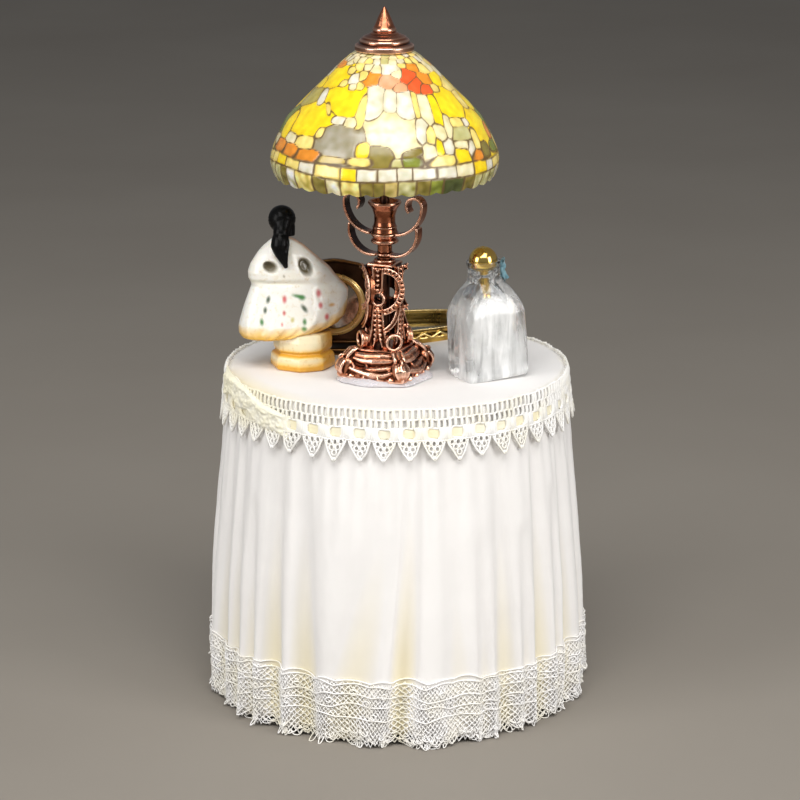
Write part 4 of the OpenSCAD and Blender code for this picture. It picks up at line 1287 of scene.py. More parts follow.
def slope_run(z):
    return np.interp(-np.asarray(z, float), -slope_at[:, 1], along)


down_slope = slope_run(height)
best = np.full(len(co), 1e9)
second = best.copy()
colour = np.zeros((len(co), 3))
size_a, size_b = np.ones(len(co)), np.ones(len(co))
for a, h, wide, tall, lean, shade_of in sites:
    off = (turn - math.radians(a) + math.pi) % (2 * math.pi) - math.pi
    x, y = off * reach, down_slope - slope_run(h)
    c, s = math.cos(math.radians(lean)), math.sin(math.radians(lean))
    q = (np.abs((c * x - s * y) / wide) ** 2.9 + np.abs((s * x + c * y) / tall) ** 2.9) ** (1 / 2.9)
    size = math.sqrt(wide * tall)
    first, after = q < best, (q >= best) & (q < second)
    second, size_b = (
        np.where(first, best, np.where(after, q, second)),
        np.where(first, size_a, np.where(after, size, size_b))
    )
    best, size_a = np.where(first, q, best), np.where(first, size, size_a)
    colour[first] = shade_of
gap = (second - best) / (1 / size_a + 1 / size_b)

lift = 0.9 * np.exp(-(((turn + 1.2) / 0.6) ** 2))
band_low, band_high = (
    40.9 + 0.15 * np.sin(5 * turn) + lift,
    43.0 + 0.25 * np.sin(2 * turn + 1.4) + 0.12 * np.sin(9 * turn) + lift
)
upper_hues = ("white", "straw", "white", "straw", "white", "yellow", "yellow", "white", "straw", "cream")
lower_hues = (
    "olive", "sage", "straw", "green", "cream", "olive", "sage", "tan", "white", "olive", "pine", "straw",
    "sage"
)
for low_edge, high_edge, hues, step, start in (
    (band_low, band_high, upper_hues, 10.4, 4), (np.full_like(turn, 30), band_low, lower_hues, 8.0, 7)
):
    inside = (height < high_edge) & (height >= low_edge)
    panes_round = int(360 / step)
    place_in = (
        (np.degrees(turn) + start + 2.2 * np.sin(5 * turn) + 1.3 * np.sin(13 * turn + start)) / 360
        * panes_round
    )
    cell = np.floor(place_in).astype(int)
    across = (0.5 - np.abs(place_in - cell - 0.5)) * math.radians(360 / panes_round) * reach
    edge = np.minimum(np.minimum(across, high_edge - height), np.where(low_edge > 31, height - low_edge, 9))
    picks = np.array([enamels[h] for h in hues])
    colour[inside] = picks[(cell * 7 + cell // 3) % len(hues)][inside]
    gap[inside] = edge[inside]
above = height >= band_high
gap[above] = np.minimum(gap[above], (height - band_high)[above])
normal = normals_of(shade)
inside_face = (
    (normal[:, 0] * co[:, 0] + normal[:, 1] * co[:, 1]) / np.maximum(reach, 0.1) + 0.4 * normal[:, 2] < 0
) & (height < shade_top - 0.1)
blotch = np.where(height < band_low, 1.7, 0.5)[:, None]
cloudy = 1 + blotch * ripple(co[:, 0], co[:, 1], co[:, 2], 1.3)[:, None] * np.array([0.45, 0.45, 0.8])
wash_edge = np.clip(gap / 0.9, 0, 1)[:, None]
colour = colour * cloudy * (np.array([0.95, 0.88, 0.75]) + np.array([0.05, 0.12, 0.25]) * wash_edge)
colour[inside_face] = (0.83, 0.79, 0.68)
gap[inside_face] = 9
mark = shade.data.attributes.new("enamel", "FLOAT_COLOR", "POINT")
mark.data.foreach_set(
    "color", np.column_stack([np.clip(colour, 0, 1), np.ones(len(co))]).astype(np.float32).ravel()
)
pale_front = np.exp(-((turn / 0.5) ** 2)) * np.clip((height - 44.5) / 2, 0, 1)
line_width = (
    np.interp(height, [43, 50, 56, 60], [0.2, 0.15, 0.12, 0.1]) * (1 - 0.45 * pale_front)
    * (1 + 0.8 * ripple(co[:, 0], co[:, 1], co[:, 2], 1.1))
)
paint(shade, "lead", gap / line_width)
relief = -0.05 * np.clip(1 - gap / 0.28, 0, 1) * (~inside_face)
co[:, :2] *= (1 + relief / np.maximum(reach, 3))[:, None]
move_points(shade, placed(co, (lamp_site[0], lamp_site[1], 0)) * mm)

varnish = bpy.data.materials.new("painted_leaded_glass")
varnish.use_nodes = True
tree = varnish.node_tree
skin = tree.nodes["Principled BSDF"]
skin.label, skin.location = "varnished enamel", (900, 0)
skin.inputs["Coat Weight"].default_value = 0.3
skin.inputs["Coat Roughness"].default_value = 0.16
skin.inputs["Subsurface Weight"].default_value = 0.15
skin.inputs["Subsurface Radius"].default_value = (0.0008, 0.0006, 0.0003)
paint_marks = tree.nodes.new("ShaderNodeAttribute")
paint_marks.label, paint_marks.location = "enamel of each pane", (-500, 260)
paint_marks.attribute_name = "enamel"
lead_marks = tree.nodes.new("ShaderNodeAttribute")
lead_marks.label, lead_marks.location = "distance from the lead lines", (-500, -20)
lead_marks.attribute_name = "lead"
where = tree.nodes.new("ShaderNodeTexCoord")
where.label, where.location = "place on the shade", (-900, -200)
streak = tree.nodes.new("ShaderNodeTexNoise")
streak.label, streak.location = "brush streaks", (-680, 80)
streak.inputs["Scale"].default_value = 900
streak.inputs["Detail"].default_value = 5
streaked = tree.nodes.new("ShaderNodeMix")
streaked.label, streaked.location = "streaked enamel", (-160, 260)
streaked.data_type, streaked.blend_type = "RGBA", "MULTIPLY"
streaked.inputs["Factor"].default_value = 0.35
thin = tree.nodes.new("ShaderNodeValToRGB")
thin.label, thin.location = "thin and thick enamel", (-500, 520)
thin.color_ramp.elements[0].position, thin.color_ramp.elements[0].color = 0.3, (0.9, 0.82, 0.66, 1)
thin.color_ramp.elements[1].position, thin.color_ramp.elements[1].color = 0.6, (1, 1, 1, 1)
line = tree.nodes.new("ShaderNodeMapRange")
line.label, line.location = "width of the painted lines", (-160, -20)
line.inputs["From Min"].default_value, line.inputs["From Max"].default_value = 0.25, 1.45
leaded = tree.nodes.new("ShaderNodeMix")
leaded.label, leaded.location = "brown-black lines", (160, 160)
leaded.data_type = "RGBA"
leaded.inputs["A"].default_value = (0.13, 0.075, 0.02, 1)
dull = tree.nodes.new("ShaderNodeMapRange")
dull.label, dull.location = "gloss of the panes, satin lines", (160, -120)
dull.inputs["To Min"].default_value, dull.inputs["To Max"].default_value = 0.5, 0.2
dents = tree.nodes.new("ShaderNodeBump")
dents.label, dents.location = "lines stand in low relief", (560, -260)
dents.inputs["Strength"].default_value = 0.4
dents.inputs["Distance"].default_value = 0.00005
ripples = tree.nodes.new("ShaderNodeBump")
ripples.label, ripples.location = "uneven varnish", (320, -420)
ripples.inputs["Strength"].default_value = 0.25
ripples.inputs["Distance"].default_value = 0.00006
colour_frame, gloss_frame = tree.nodes.new("NodeFrame"), tree.nodes.new("NodeFrame")
colour_frame.label, gloss_frame.label = "painted colour", "varnish and relief"
for n in (paint_marks, lead_marks, streak, streaked, thin, line, leaded):
    n.parent = colour_frame
for n in (dull, dents, ripples):
    n.parent = gloss_frame
tree.links.new(where.outputs["Object"], streak.inputs["Vector"])
tree.links.new(streak.outputs["Fac"], thin.inputs["Fac"])
tree.links.new(paint_marks.outputs["Color"], streaked.inputs["A"])
tree.links.new(thin.outputs["Color"], streaked.inputs["B"])
tree.links.new(lead_marks.outputs["Fac"], line.inputs["Value"])
tree.links.new(line.outputs["Result"], leaded.inputs["Factor"])
tree.links.new(streaked.outputs["Result"], leaded.inputs["B"])
tree.links.new(leaded.outputs["Result"], skin.inputs["Base Color"])
tree.links.new(line.outputs["Result"], dull.inputs["Value"])
tree.links.new(dull.outputs["Result"], skin.inputs["Roughness"])
tree.links.new(streak.outputs["Fac"], ripples.inputs["Height"])
tree.links.new(ripples.outputs["Normal"], dents.inputs["Normal"])
tree.links.new(line.outputs["Result"], dents.inputs["Height"])
tree.links.new(dents.outputs["Normal"], skin.inputs["Normal"])
shade.data.materials.append(varnish)
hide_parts("shade")
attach(shade, "shade")

# ---------------------------------------------------------------- finial
# A stepped cap with a beaded lip and a pointed finial, turned from the same copper-plated metal.
# The two are one screw-on piece that holds the shade down.
cap_low, cap_high = rise_of("finial_cap")
tip_z = rise_of("finial_cone")[1]
cap = turned(
    "finial_cap_turning",
    eased_line(
        [
            (3.4, shade_top + 0.02), (4.9, cap_low + 0.1), (5.15, cap_low), (5.35, 61.1), (5.38, 61.9),
            (5.2, 62.1), (4.7, 62.3), (4.5, 62.45), (4.55, 62.8), (4.35, 63.1), (4.05, 63.2), (3.9, 63.5),
            (3.2, 63.8), (2.75, 63.95), (2.5, 64.2), (2.3, 64.3), (2.05, cap_high)
        ],
        64, 1
    ),
    centre=lamp_site[:2], steps=120
)
cone = turned(
    "finial_point_turning",
    eased_line(
        [
            (1.9, cap_high - 0.1), (2.15, 64.5), (2.2, 64.8), (2.0, 65.2), (1.85, 65.35), (1.5, 66.2),
            (1.05, 67.2), (0.6, 68.1), (0.2, 68.8), (0.02, tip_z)
        ],
        48, 1
    ),
    centre=lamp_site[:2], steps=96
)
for part, solid in ((cap, "finial_cap"), (cone, "finial_cone")):
    co = points_of(part)
    co[:, 2] += table_top * mm
    move_points(part, co)
    mark_hollows(part, 0.13, 10)
    part.data.materials.append(copper)
    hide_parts(solid)
    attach(part, "finial")

# ---------------------------------------------------------------- china lady
# A small glazed china lady seen from behind, in a full gown and a short cape, on an eight-sided plinth.
# She is one hollow casting, painted under the glaze with amber hems, dabs of flowers and leaves, and
# black hair in a long tail.
lady_turn, plinth_shift = 18, 2.3
middle = middle_of("figurine_plinth")
lady_site = (
    middle[0] - plinth_shift * math.cos(math.radians(lady_turn)),
    middle[1] - plinth_shift * math.sin(math.radians(lady_turn)), lady_turn
)


def china(name, gloss):
    """Glazed china: painted colour from the "enamel" attribute, kiln specks and a thick clear glaze."""
    m = bpy.data.materials.new(name)
    m.use_nodes = True
    tree = m.node_tree
    skin = tree.nodes["Principled BSDF"]
    skin.label, skin.location = "glazed china", (700, 0)
    skin.inputs["Coat Weight"].default_value = gloss
    skin.inputs["Specular IOR Level"].default_value = 0.1 + 0.4 * gloss
    skin.inputs["Coat Roughness"].default_value = 0.08
    skin.inputs["Subsurface Weight"].default_value = 0.12
    skin.inputs["Subsurface Radius"].default_value = (0.0008, 0.0006, 0.0004)
    marks = tree.nodes.new("ShaderNodeAttribute")
    marks.label, marks.location = "painted colour", (-300, 260)
    marks.attribute_name = "enamel"
    where = tree.nodes.new("ShaderNodeTexCoord")
    where.label, where.location = "place on the china", (-900, 0)
    speck = tree.nodes.new("ShaderNodeTexNoise")
    speck.label, speck.location = "kiln specks and thin glaze", (-660, 120)
    speck.inputs["Scale"].default_value = 1300
    speck.inputs["Detail"].default_value = 5
    mottle = tree.nodes.new("ShaderNodeValToRGB")
    mottle.label, mottle.location = "warm specks", (-420, 60)
    mottle.color_ramp.elements[0].position, mottle.color_ramp.elements[0].color = 0.3, (0.82, 0.72, 0.55, 1)
    mottle.color_ramp.elements[1].position, mottle.color_ramp.elements[1].color = 0.46, (1, 1, 1, 1)
    fired = tree.nodes.new("ShaderNodeMix")
    fired.label, fired.location = "colour under the glaze", (120, 200)
    fired.data_type, fired.blend_type = "RGBA", "MULTIPLY"
    fired.inputs["Factor"].default_value = 0.5
    satin_range = tree.nodes.new("ShaderNodeMapRange")
    satin_range.label, satin_range.location = "glossy to satin", (120, -80)
    satin_range.inputs["To Min"].default_value, satin_range.inputs["To Max"].default_value = 0.2, 0.42
    dents = tree.nodes.new("ShaderNodeBump")
    dents.label, dents.location = "orange-peel glaze", (400, -240)
    dents.inputs["Strength"].default_value = 0.25
    dents.inputs["Distance"].default_value = 0.00008
    colour_frame, glaze_frame = tree.nodes.new("NodeFrame"), tree.nodes.new("NodeFrame")
    colour_frame.label, glaze_frame.label = "underglaze painting", "glaze"
    for n in (marks, mottle, fired):
        n.parent = colour_frame
    for n in (satin_range, dents):
        n.parent = glaze_frame
    tree.links.new(where.outputs["Object"], speck.inputs["Vector"])
    tree.links.new(speck.outputs["Fac"], mottle.inputs["Fac"])
    tree.links.new(marks.outputs["Color"], fired.inputs["A"])
    tree.links.new(mottle.outputs["Color"], fired.inputs["B"])
    tree.links.new(fired.outputs["Result"], skin.inputs["Base Color"])
    tree.links.new(speck.outputs["Fac"], satin_range.inputs["Value"])
    tree.links.new(satin_range.outputs["Result"], skin.inputs["Roughness"])
    tree.links.new(speck.outputs["Fac"], dents.inputs["Height"])
    tree.links.new(dents.outputs["Normal"], skin.inputs["Normal"])
    return m


def enamel_on(piece, colour):
    """Keeps one colour per point on a piece."""
    mark = piece.data.attributes.new("enamel", "FLOAT_COLOR", "POINT")
    mark.data.foreach_set(
        "color", np.column_stack([np.clip(colour, 0, 1), np.ones(len(colour))]).astype(np.float32).ravel()
    )


glazed = china("glazed_china", 0.6)
ivory, amber, deep_amber = (
    np.array((0.9, 0.885, 0.82)), np.array((0.88, 0.52, 0.06)), np.array((0.6, 0.22, 0.01))
)

# gown and cape: half outlines to the left and right, and half depths, by height above the table top
heights = [
    6.1, 6.5, 7.2, 8.3, 9.6, 11.5, 13.2, 14.4, 15.4, 16.2, 16.8, 17.6, 18.8, 20.2, 22.2, 23.6, 24.5, 25.1
]
left = [
    -8.3, -9.5, -9.9, -9.95, -9.7, -9.15, -8.6, -8.15, -7.75, -7.45, -7.6, -8.0, -8.05, -7.6, -6.25, -5.0,
    -3.9, -2.6
]
right = [1.4, 3.4, 6.4, 9.2, 10.4, 10.85, 11.1, 11.2, 10.5, 9.7, 9.2, 8.5, 7.6, 6.1, 3.9, 2.3, 1.0, -0.3]
deep = [3.6, 4.4, 4.8, 4.9, 4.8, 4.6, 4.3, 4.0, 3.75, 3.45, 3.5, 3.75, 3.7, 3.4, 2.8, 2.2, 1.8, 1.2]
line = eased_line([(3, 6.1), *[(8, h) for h in heights[1:-1]], (3, 25.1)], 128, 1)
body = turned("china_gown_and_cape", [(0.02, 6.05), *line, (0.02, 25.15)], steps=300, smooth=180)
co = points_of(body) / mm
angle, z = np.arctan2(co[:, 1], co[:, 0]), co[:, 2]
share = np.clip(np.hypot(co[:, 0], co[:, 1]) / np.interp(z, line[:, 1], line[:, 0]), 0, 1)
cos, sin = np.cos(angle), np.sin(angle)
round_off = (np.abs(cos) ** 2.3 + np.abs(sin) ** 2.3) ** (-1 / 2.3)
centre = (np.interp(z, heights, left) + np.interp(z, heights, right)) / 2
half_wide = (np.interp(z, heights, right) - np.interp(z, heights, left)) / 2
x = centre + half_wide * cos * round_off * share
pleats = (
    1 + 0.05 * np.sin(9 * angle + 0.12 * z) * np.clip((15 - z) / 6, 0, 1)
    + 0.03 * np.sin(23 * angle) * np.clip((12 - z) / 5, 0, 1)
)
y = np.interp(z, heights, deep) * sin * round_off * share * pleats
under_cape = np.exp(-(((z - 16.7 + 0.06 * x) / 0.42) ** 2)) * np.clip((4 - x) / 6, 0, 1)
y *= 1 - 0.13 * under_cape
dents = []
for px, pz, rx, rz, lean, bite in ((-4.5, 20.0, 1.3, 0.95, 0.35, 1.5), (2.15, 19.6, 1.15, 1.75, -0.5, 1.7)):
    u, v = (
        (x - px) * math.cos(lean) - (z - pz) * math.sin(lean),
        (x - px) * math.sin(lean) + (z - pz) * math.cos(lean)
    )
    hole = np.clip(1.35 - ((u / rx) ** 2 + (v / rz) ** 2), 0, 1) ** 0.8
    y -= np.sign(y) * hole * np.minimum(bite, np.abs(y) * 0.6)
    dents.append(hole)
z = z + 0.12 * ripple(x, y, z, 3.1)
y = y + 0.16 * ripple(x, y, z, 2.4, 4) * share
move_points(body, placed(np.stack([x, y, z], -1), lady_site) * mm)
hem = np.interp(x, [-11, -9, 2, 6, 9, 10.6, 12], [6.6, 6.2, 6.0, 7.0, 8.8, 10.6, 12.4])
band = np.clip(1.15 - (z - hem) / (2.3 + 0.5 * ripple(x, y, z, 2)), 0, 1) ** 0.5
rim = np.clip(1.2 - (np.interp(z, heights, right) - x) / 0.8, 0, 1) * np.clip((z - 12.5) / 2, 0, 1)
colour = np.tile(ivory, (len(z), 1))
# painted shade: the ivory turns yellow-grey in the crease under the cape's edge, with random patches of tone
# elsewhere
crease = np.clip(under_cape * 0.5 + 0.35 * np.clip(ripple(x, y, z, 3.3, 7) * 2, 0, 1), 0, 1)[:, None]
colour = colour * (1 - crease * np.array([0.05, 0.09, 0.22]))
colour += (amber - colour) * band[:, None]
colour += (deep_amber - colour) * (np.clip(band - 0.8, 0, 1) * 3 * np.clip((x + 6) / 12, 0.25, 1))[:, None]
colour += (deep_amber - colour) * (0.8 * rim)[:, None]
# painted shade: the two dents beside the arms are coloured dark brown for the open space behind the arms
for hole in dents:
    colour += (np.array((0.1, 0.075, 0.025)) - colour) * (0.95 * np.clip(hole * 1.5 - 0.3, 0, 1))[:, None]
leaf, deep_leaf, bud, rose = (0.03, 0.2, 0.03), (0.012, 0.05, 0.015), (0.6, 0.07, 0.08), (0.75, 0.25, 0.22)
for px, pz, rx, rz, lean, hue in (
    (-5.2, 14.0, 0.42, 0.85, 0.35, deep_leaf), (-5.9, 12.1, 0.38, 0.75, 0.2, deep_leaf),
    (-6.6, 9.9, 0.42, 0.8, 0, leaf), (-2.25, 14.0, 0.48, 0.85, 0.15, bud), (-2.5, 11.5, 0.36, 0.55, 0, bud),
    (-3.0, 9.4, 0.26, 0.45, 0, rose), (0.4, 14.4, 1.4, 0.42, 0.25, leaf), (1.1, 14.1, 0.75, 0.62, 0, leaf),
    (1.4, 12.1, 0.5, 1.05, -0.6, deep_leaf), (1.35, 9.6, 0.45, 0.75, 0, leaf),
    (1.2, 8.3, 0.6, 0.55, 0, leaf), (4.4, 14.6, 0.58, 0.9, 0, bud), (4.6, 12.4, 0.55, 0.7, 0, bud),
    (5.85, 10.1, 0.55, 0.75, 0, bud), (-0.95, 10.1, 0.45, 0.6, 0, (0.6, 0.55, 0.2)),
    (6.95, 12.2, 0.8, 0.4, 0, (0.7, 0.42, 0.14)), (-2.2, 18.3, 0.2, 0.3, 0, (0.2, 0.15, 0.06))
):
    for face in (-1, 1):
        flip = x if face < 0 else -x
        u, v = (
            (flip - px) * math.cos(lean) - (z - pz) * math.sin(lean),
            (flip - px) * math.sin(lean) + (z - pz) * math.cos(lean)
        )
        dab = np.clip(1.5 - 1.3 * np.hypot(u / rx, v / rz), 0, 1) * (np.sign(y) == face)
        colour += (np.array(hue) - colour) * (0.9 * dab)[:, None]
enamel_on(body, colour)
body.data.materials.append(glazed)
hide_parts("figurine_gown", "figurine_mantle")
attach(body, "table")

# the plinth: two stacked eight-sided blocks with soft edges, amber in the groove and round the foot
steps_up = eased_line(
    [
        (5.5, 0), (5.9, 0.3), (6.0, 1.1), (5.85, 2.4), (5.6, 2.8), (5.05, 3.1), (5.05, 3.4), (5.35, 3.7),
        (5.45, 5.4), (5.2, 6.75)
    ],
    64, 2
)
plinth = turned("china_plinth", [(0.02, 0), *steps_up, (0.02, 6.8)], steps=200, smooth=180)
co = points_of(plinth) / mm
angle, z = np.arctan2(co[:, 1], co[:, 0]), co[:, 2].copy()
co[:, :2] *= (
    1.0 / np.maximum(np.cos((angle + math.pi / 8) % (math.pi / 4) - math.pi / 8), 0.9) ** 0.8 * 0.965
)[:, None]
co[:, 0] += plinth_shift
co[:, :2] += 0.1 * ripple(co[:, 0], co[:, 1], z, 2.5)[:, None]
# amber in the groove and round the foot, growing deeper towards the right side
amber_share = np.clip(
    1.3 * np.exp(-(((z - 3.3) / 0.75) ** 2)) + np.clip((2.1 - z) / 1.2, 0, 1)
    + np.clip((co[:, 0] - 3.4) / 3, 0, 1),
    0, 1
)[:, None]
colour = ivory * np.array([0.99, 0.9, 0.66]) + (amber - ivory * np.array([0.99, 0.9, 0.66])) * amber_share
colour += (deep_amber - colour) * np.clip(amber_share - 0.75, 0, 1) * 1.8
move_points(plinth, placed(co, lady_site) * mm)
enamel_on(plinth, colour)
plinth.data.materials.append(glazed)
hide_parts("figurine_plinth")
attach(plinth, "table")

# head and neck, with a calm, evenly proportioned painted face that looks away over the back of the table
bpy.ops.mesh.primitive_uv_sphere_add(segments=96, ring_count=72, radius=1)
head = bpy.context.object
head.name = "china_head"
co = points_of(head)
x, y, z = co.T
facing = np.clip(y, 0, 1)
width = 1 - 0.16 * np.clip(-z, 0, 1)
bumps = (
    0.17 * np.exp(-((x / 0.12) ** 2) - (((z + 0.12) / 0.17) ** 2)) * facing
    + 0.08 * np.exp(-((x / 0.07) ** 2) - (((z - 0.12) / 0.24) ** 2)) * facing
)
bumps += (
    0.05 * np.exp(-((x / 0.2) ** 2) - (((z + 0.45) / 0.07) ** 2)) * facing
    + 0.07 * np.exp(-((x / 0.26) ** 2) - (((z + 0.78) / 0.16) ** 2)) * facing
)
bumps -= 0.07 * np.exp(-(((np.abs(x) - 0.36) / 0.17) ** 2) - (((z - 0.1) / 0.13) ** 2)) * facing
colour = np.tile(np.array((0.88, 0.78, 0.68)), (len(x), 1))


def touch(colour, amount, hue):
    return colour + (np.array(hue) - colour) * (np.clip(amount, 0, 1) * facing)[:, None]


colour = touch(
    colour, 0.4 * np.exp(-(((np.abs(x) - 0.48) / 0.2) ** 2) - (((z + 0.25) / 0.18) ** 2)), (0.85, 0.4, 0.33)
)
colour = touch(colour, 1.4 - 1.2 * np.hypot(x / 0.2, (z + 0.46) / 0.07), (0.6, 0.12, 0.1))
lid = np.abs(z - 0.13 + 1.1 * (np.abs(x) - 0.36) ** 2)
colour = touch(colour, (1.5 - lid / 0.02) * (np.abs(np.abs(x) - 0.36) < 0.18), (0.05, 0.03, 0.03))
brow = np.abs(z - 0.36 + 0.9 * (np.abs(x) - 0.34) ** 2)
colour = touch(colour, (1.5 - brow / 0.02) * (np.abs(np.abs(x) - 0.37) < 0.2), (0.1, 0.06, 0.05))
co = np.stack([x * width * (1 + bumps) * 2.05, y * (1 + bumps) * 2.15 + 0.5, z * 2.3 + 29.0], -1)
neck_part = turned(
    "china_neck", [(0.02, 24.6), (1.5, 24.9), (1.0, 25.8), (0.95, 27.4), (0.02, 27.6)], steps=40, smooth=180
)
lean_head = np.array([-1.6, 0, -0.6])
move_points(head, placed(co + lean_head, lady_site) * mm)
move_points(neck_part, placed(points_of(neck_part) / mm + lean_head, lady_site) * mm)
enamel_on(head, colour)
enamel_on(neck_part, np.tile(np.array((0.88, 0.8, 0.7)), (len(neck_part.data.vertices), 1)))
head = join("china_head", [head, neck_part])
bpy.ops.object.select_all(action="DESELECT")
head.select_set(True)
bpy.ops.object.shade_smooth()
head.select_set(False)
head.data.materials.append(glazed)
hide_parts("figurine_head")
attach(head, "table")

# hair: a round cap that ends above the brow, drawn in at the nape and falling in one long lock
bpy.ops.mesh.primitive_uv_sphere_add(segments=64, ring_count=40, radius=2.58 * mm)
hair_cap = bpy.context.object
co = points_of(hair_cap) / mm
hold_back = np.clip(co[:, 1] - 0.4, 0, 9) * np.clip((1.9 - co[:, 2]) / 1.2, 0, 1)
co[:, 1] -= hold_back * 0.93
co[:, 0] *= 1 + 0.02 * np.sin(26 * np.arctan2(co[:, 2], co[:, 0]))
move_points(hair_cap, placed(co + np.array([-1.6, -0.35, 28.5]), lady_site) * mm)
nape = threads(
    "nape", [placed([(-1.15, -0.9, 27.9), (-0.75, -1.2, 26.9), (-0.7, -1.4, 25.4)], lady_site)], 2.7,
    sides=4, taper=[1.25, 1.1, 0.95]
)
lock = np.array([
    (-1.7, -1.3, 28.0), (-2.3, -2.3, 26.4), (-2.55, -2.7, 25.3), (-2.7, -3.0, 24.0), (-2.55, -3.3, 22.6),
    (-2.2, -3.6, 21.2), (-1.75, -3.75, 19.9)
])
lock = placed(
    np.stack([np.interp(np.linspace(0, 6, 37), range(7), lock[:, k]) for k in range(3)], -1), lady_site
)
lock_piece = threads("lock", [lock], 3.1, sides=6, taper=[1.25, 1.0, 0.92, 1.1, 1.15, 0.95, 0.66, 0.4, 0.22])
strands = [
    placed(
        [
            (-1.7 + s, -2.4, 27.4), (-2.4 + 1.3 * s, -4.0, 25.0), (-2.4 + s, -4.5, 22.9),
            (-1.9 + 0.3 * s, -4.2, 20.4)
        ],
        lady_site
    )
    for s in (-0.75, -0.3, 0.2, 0.65)
]
strands = threads(
    "strands",
    [
        np.stack([np.interp(np.linspace(0, 3, 19), range(4), s[:, k]) for k in range(3)], -1)
        for s in strands
    ],
    0.5, sides=2, taper=[0.8, 1, 0.8, 0.3]
)
bpy.ops.object.select_all(action="DESELECT")
hair = casting("china_hair", [], [hair_cap, nape, lock_piece, strands], voxel=0.13, soften=5)
enamel_on(hair, np.tile(np.array((0.004, 0.004, 0.004)), (len(hair.data.vertices), 1)))
hair.data.materials.append(china("black_glaze", 0.0))
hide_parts("figurine_hair")
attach(hair, "table")

# ---------------------------------------------------------------- scent bottle
# A moulded glass bottle with heavy corners, sloping shoulders and a cupped lip. It leans to the left.
# A gold bead on a pin stops the neck, and a small blue ribbon bow is tied behind it.
pin_low, pin_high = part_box("stopper_pin")
lean, bottle_turn = math.radians(3.3), math.radians(27)
pin_mid = (pin_low + pin_high) / 2 / mm
bottle_foot = (pin_mid.x + math.tan(lean) * (pin_mid.z - table_top), pin_mid.y)
lip, pin_r, bead_r = 21.9, 0.9, 2.65


def in_bottle(at):
    """Points drawn about the bottle's own axis, in millimetres, turned and leant to where it stands."""
    at = np.asarray(at, float)
    x = math.cos(bottle_turn) * at[..., 0] - math.sin(bottle_turn) * at[..., 1]
    y = math.sin(bottle_turn) * at[..., 0] + math.cos(bottle_turn) * at[..., 1]
    return np.stack(
        [
            bottle_foot[0] + math.cos(lean) * x - math.sin(lean) * at[..., 2], bottle_foot[1] + y,
            table_top + math.cos(lean) * at[..., 2] + math.sin(lean) * x
        ],
        -1
    )


glass = bpy.data.materials.new("moulded_glass")
glass.use_nodes = True
tree = glass.node_tree
skin = tree.nodes["Principled BSDF"]
skin.label, skin.location = "moulded glass", (700, 0)
skin.inputs["IOR"].default_value = 1.5
marks = tree.nodes.new("ShaderNodeAttribute")
marks.label, marks.location = "milky inside, clear outside", (-600, 300)
marks.attribute_name = "milk"
where = tree.nodes.new("ShaderNodeTexCoord")
where.label, where.location = "place in the glass", (-1100, -100)
upright = tree.nodes.new("ShaderNodeMapping")
upright.label, upright.location = "streaks run upwards", (-860, 60)
upright.inputs["Scale"].default_value = (1, 1, 0.16)
drawn = tree.nodes.new("ShaderNodeTexNoise")
drawn.label, drawn.location = "drawn streaks", (-620, 60)
drawn.inputs["Scale"].default_value = 750
drawn.inputs["Detail"].default_value = 5
drawn.inputs["Distortion"].default_value = 0.6
clear = tree.nodes.new("ShaderNodeMapRange")
clear.label, clear.location = "clear streaks", (-360, 60)
clear.inputs["From Min"].default_value, clear.inputs["From Max"].default_value = 0.42, 0.68
clear.inputs["To Min"].default_value, clear.inputs["To Max"].default_value = 0.0, 0.3
through = tree.nodes.new("ShaderNodeMath")
through.label, through.location = "how clear it is", (-120, 160)
through.operation, through.use_clamp = "ADD", True
tint = tree.nodes.new("ShaderNodeMix")
tint.label, tint.location = "cold white to clear", (160, 260)
tint.data_type = "RGBA"
tint.inputs["A"].default_value, tint.inputs["B"].default_value = (0.97, 0.975, 0.965, 1), (0.99, 1, 1, 1)
flow = tree.nodes.new("ShaderNodeTexNoise")
flow.label, flow.location = "ripples left by the mould", (-120, -240)
flow.inputs["Scale"].default_value = 420
flow.inputs["Detail"].default_value = 3
smear = tree.nodes.new("ShaderNodeMapRange")
smear.label, smear.location = "finger smears", (160, -60)
smear.inputs["To Min"].default_value, smear.inputs["To Max"].default_value = 0.02, 0.14
wavy = tree.nodes.new("ShaderNodeBump")
wavy.label, wavy.location = "wavy faces", (400, -260)
wavy.inputs["Strength"].default_value = 0.6
wavy.inputs["Distance"].default_value = 0.00016
clarity_frame, face_frame = tree.nodes.new("NodeFrame"), tree.nodes.new("NodeFrame")
clarity_frame.label, face_frame.label = "clarity", "faces"
for n in (marks, upright, drawn, clear, through, tint):
    n.parent = clarity_frame
for n in (flow, smear, wavy):
    n.parent = face_frame
tree.links.new(where.outputs["Object"], upright.inputs["Vector"])
tree.links.new(upright.outputs["Vector"], drawn.inputs["Vector"])
tree.links.new(drawn.outputs["Fac"], clear.inputs["Value"])
tree.links.new(clear.outputs["Result"], through.inputs[0])
tree.links.new(marks.outputs["Fac"], through.inputs[1])
tree.links.new(through.outputs["Value"], skin.inputs["Transmission Weight"])
tree.links.new(through.outputs["Value"], tint.inputs["Factor"])
tree.links.new(tint.outputs["Result"], skin.inputs["Base Color"])
tree.links.new(where.outputs["Object"], flow.inputs["Vector"])
tree.links.new(flow.outputs["Fac"], smear.inputs["Value"])
tree.links.new(smear.outputs["Result"], skin.inputs["Roughness"])
tree.links.new(flow.outputs["Fac"], wavy.inputs["Height"])
tree.links.new(wavy.outputs["Normal"], skin.inputs["Normal"])

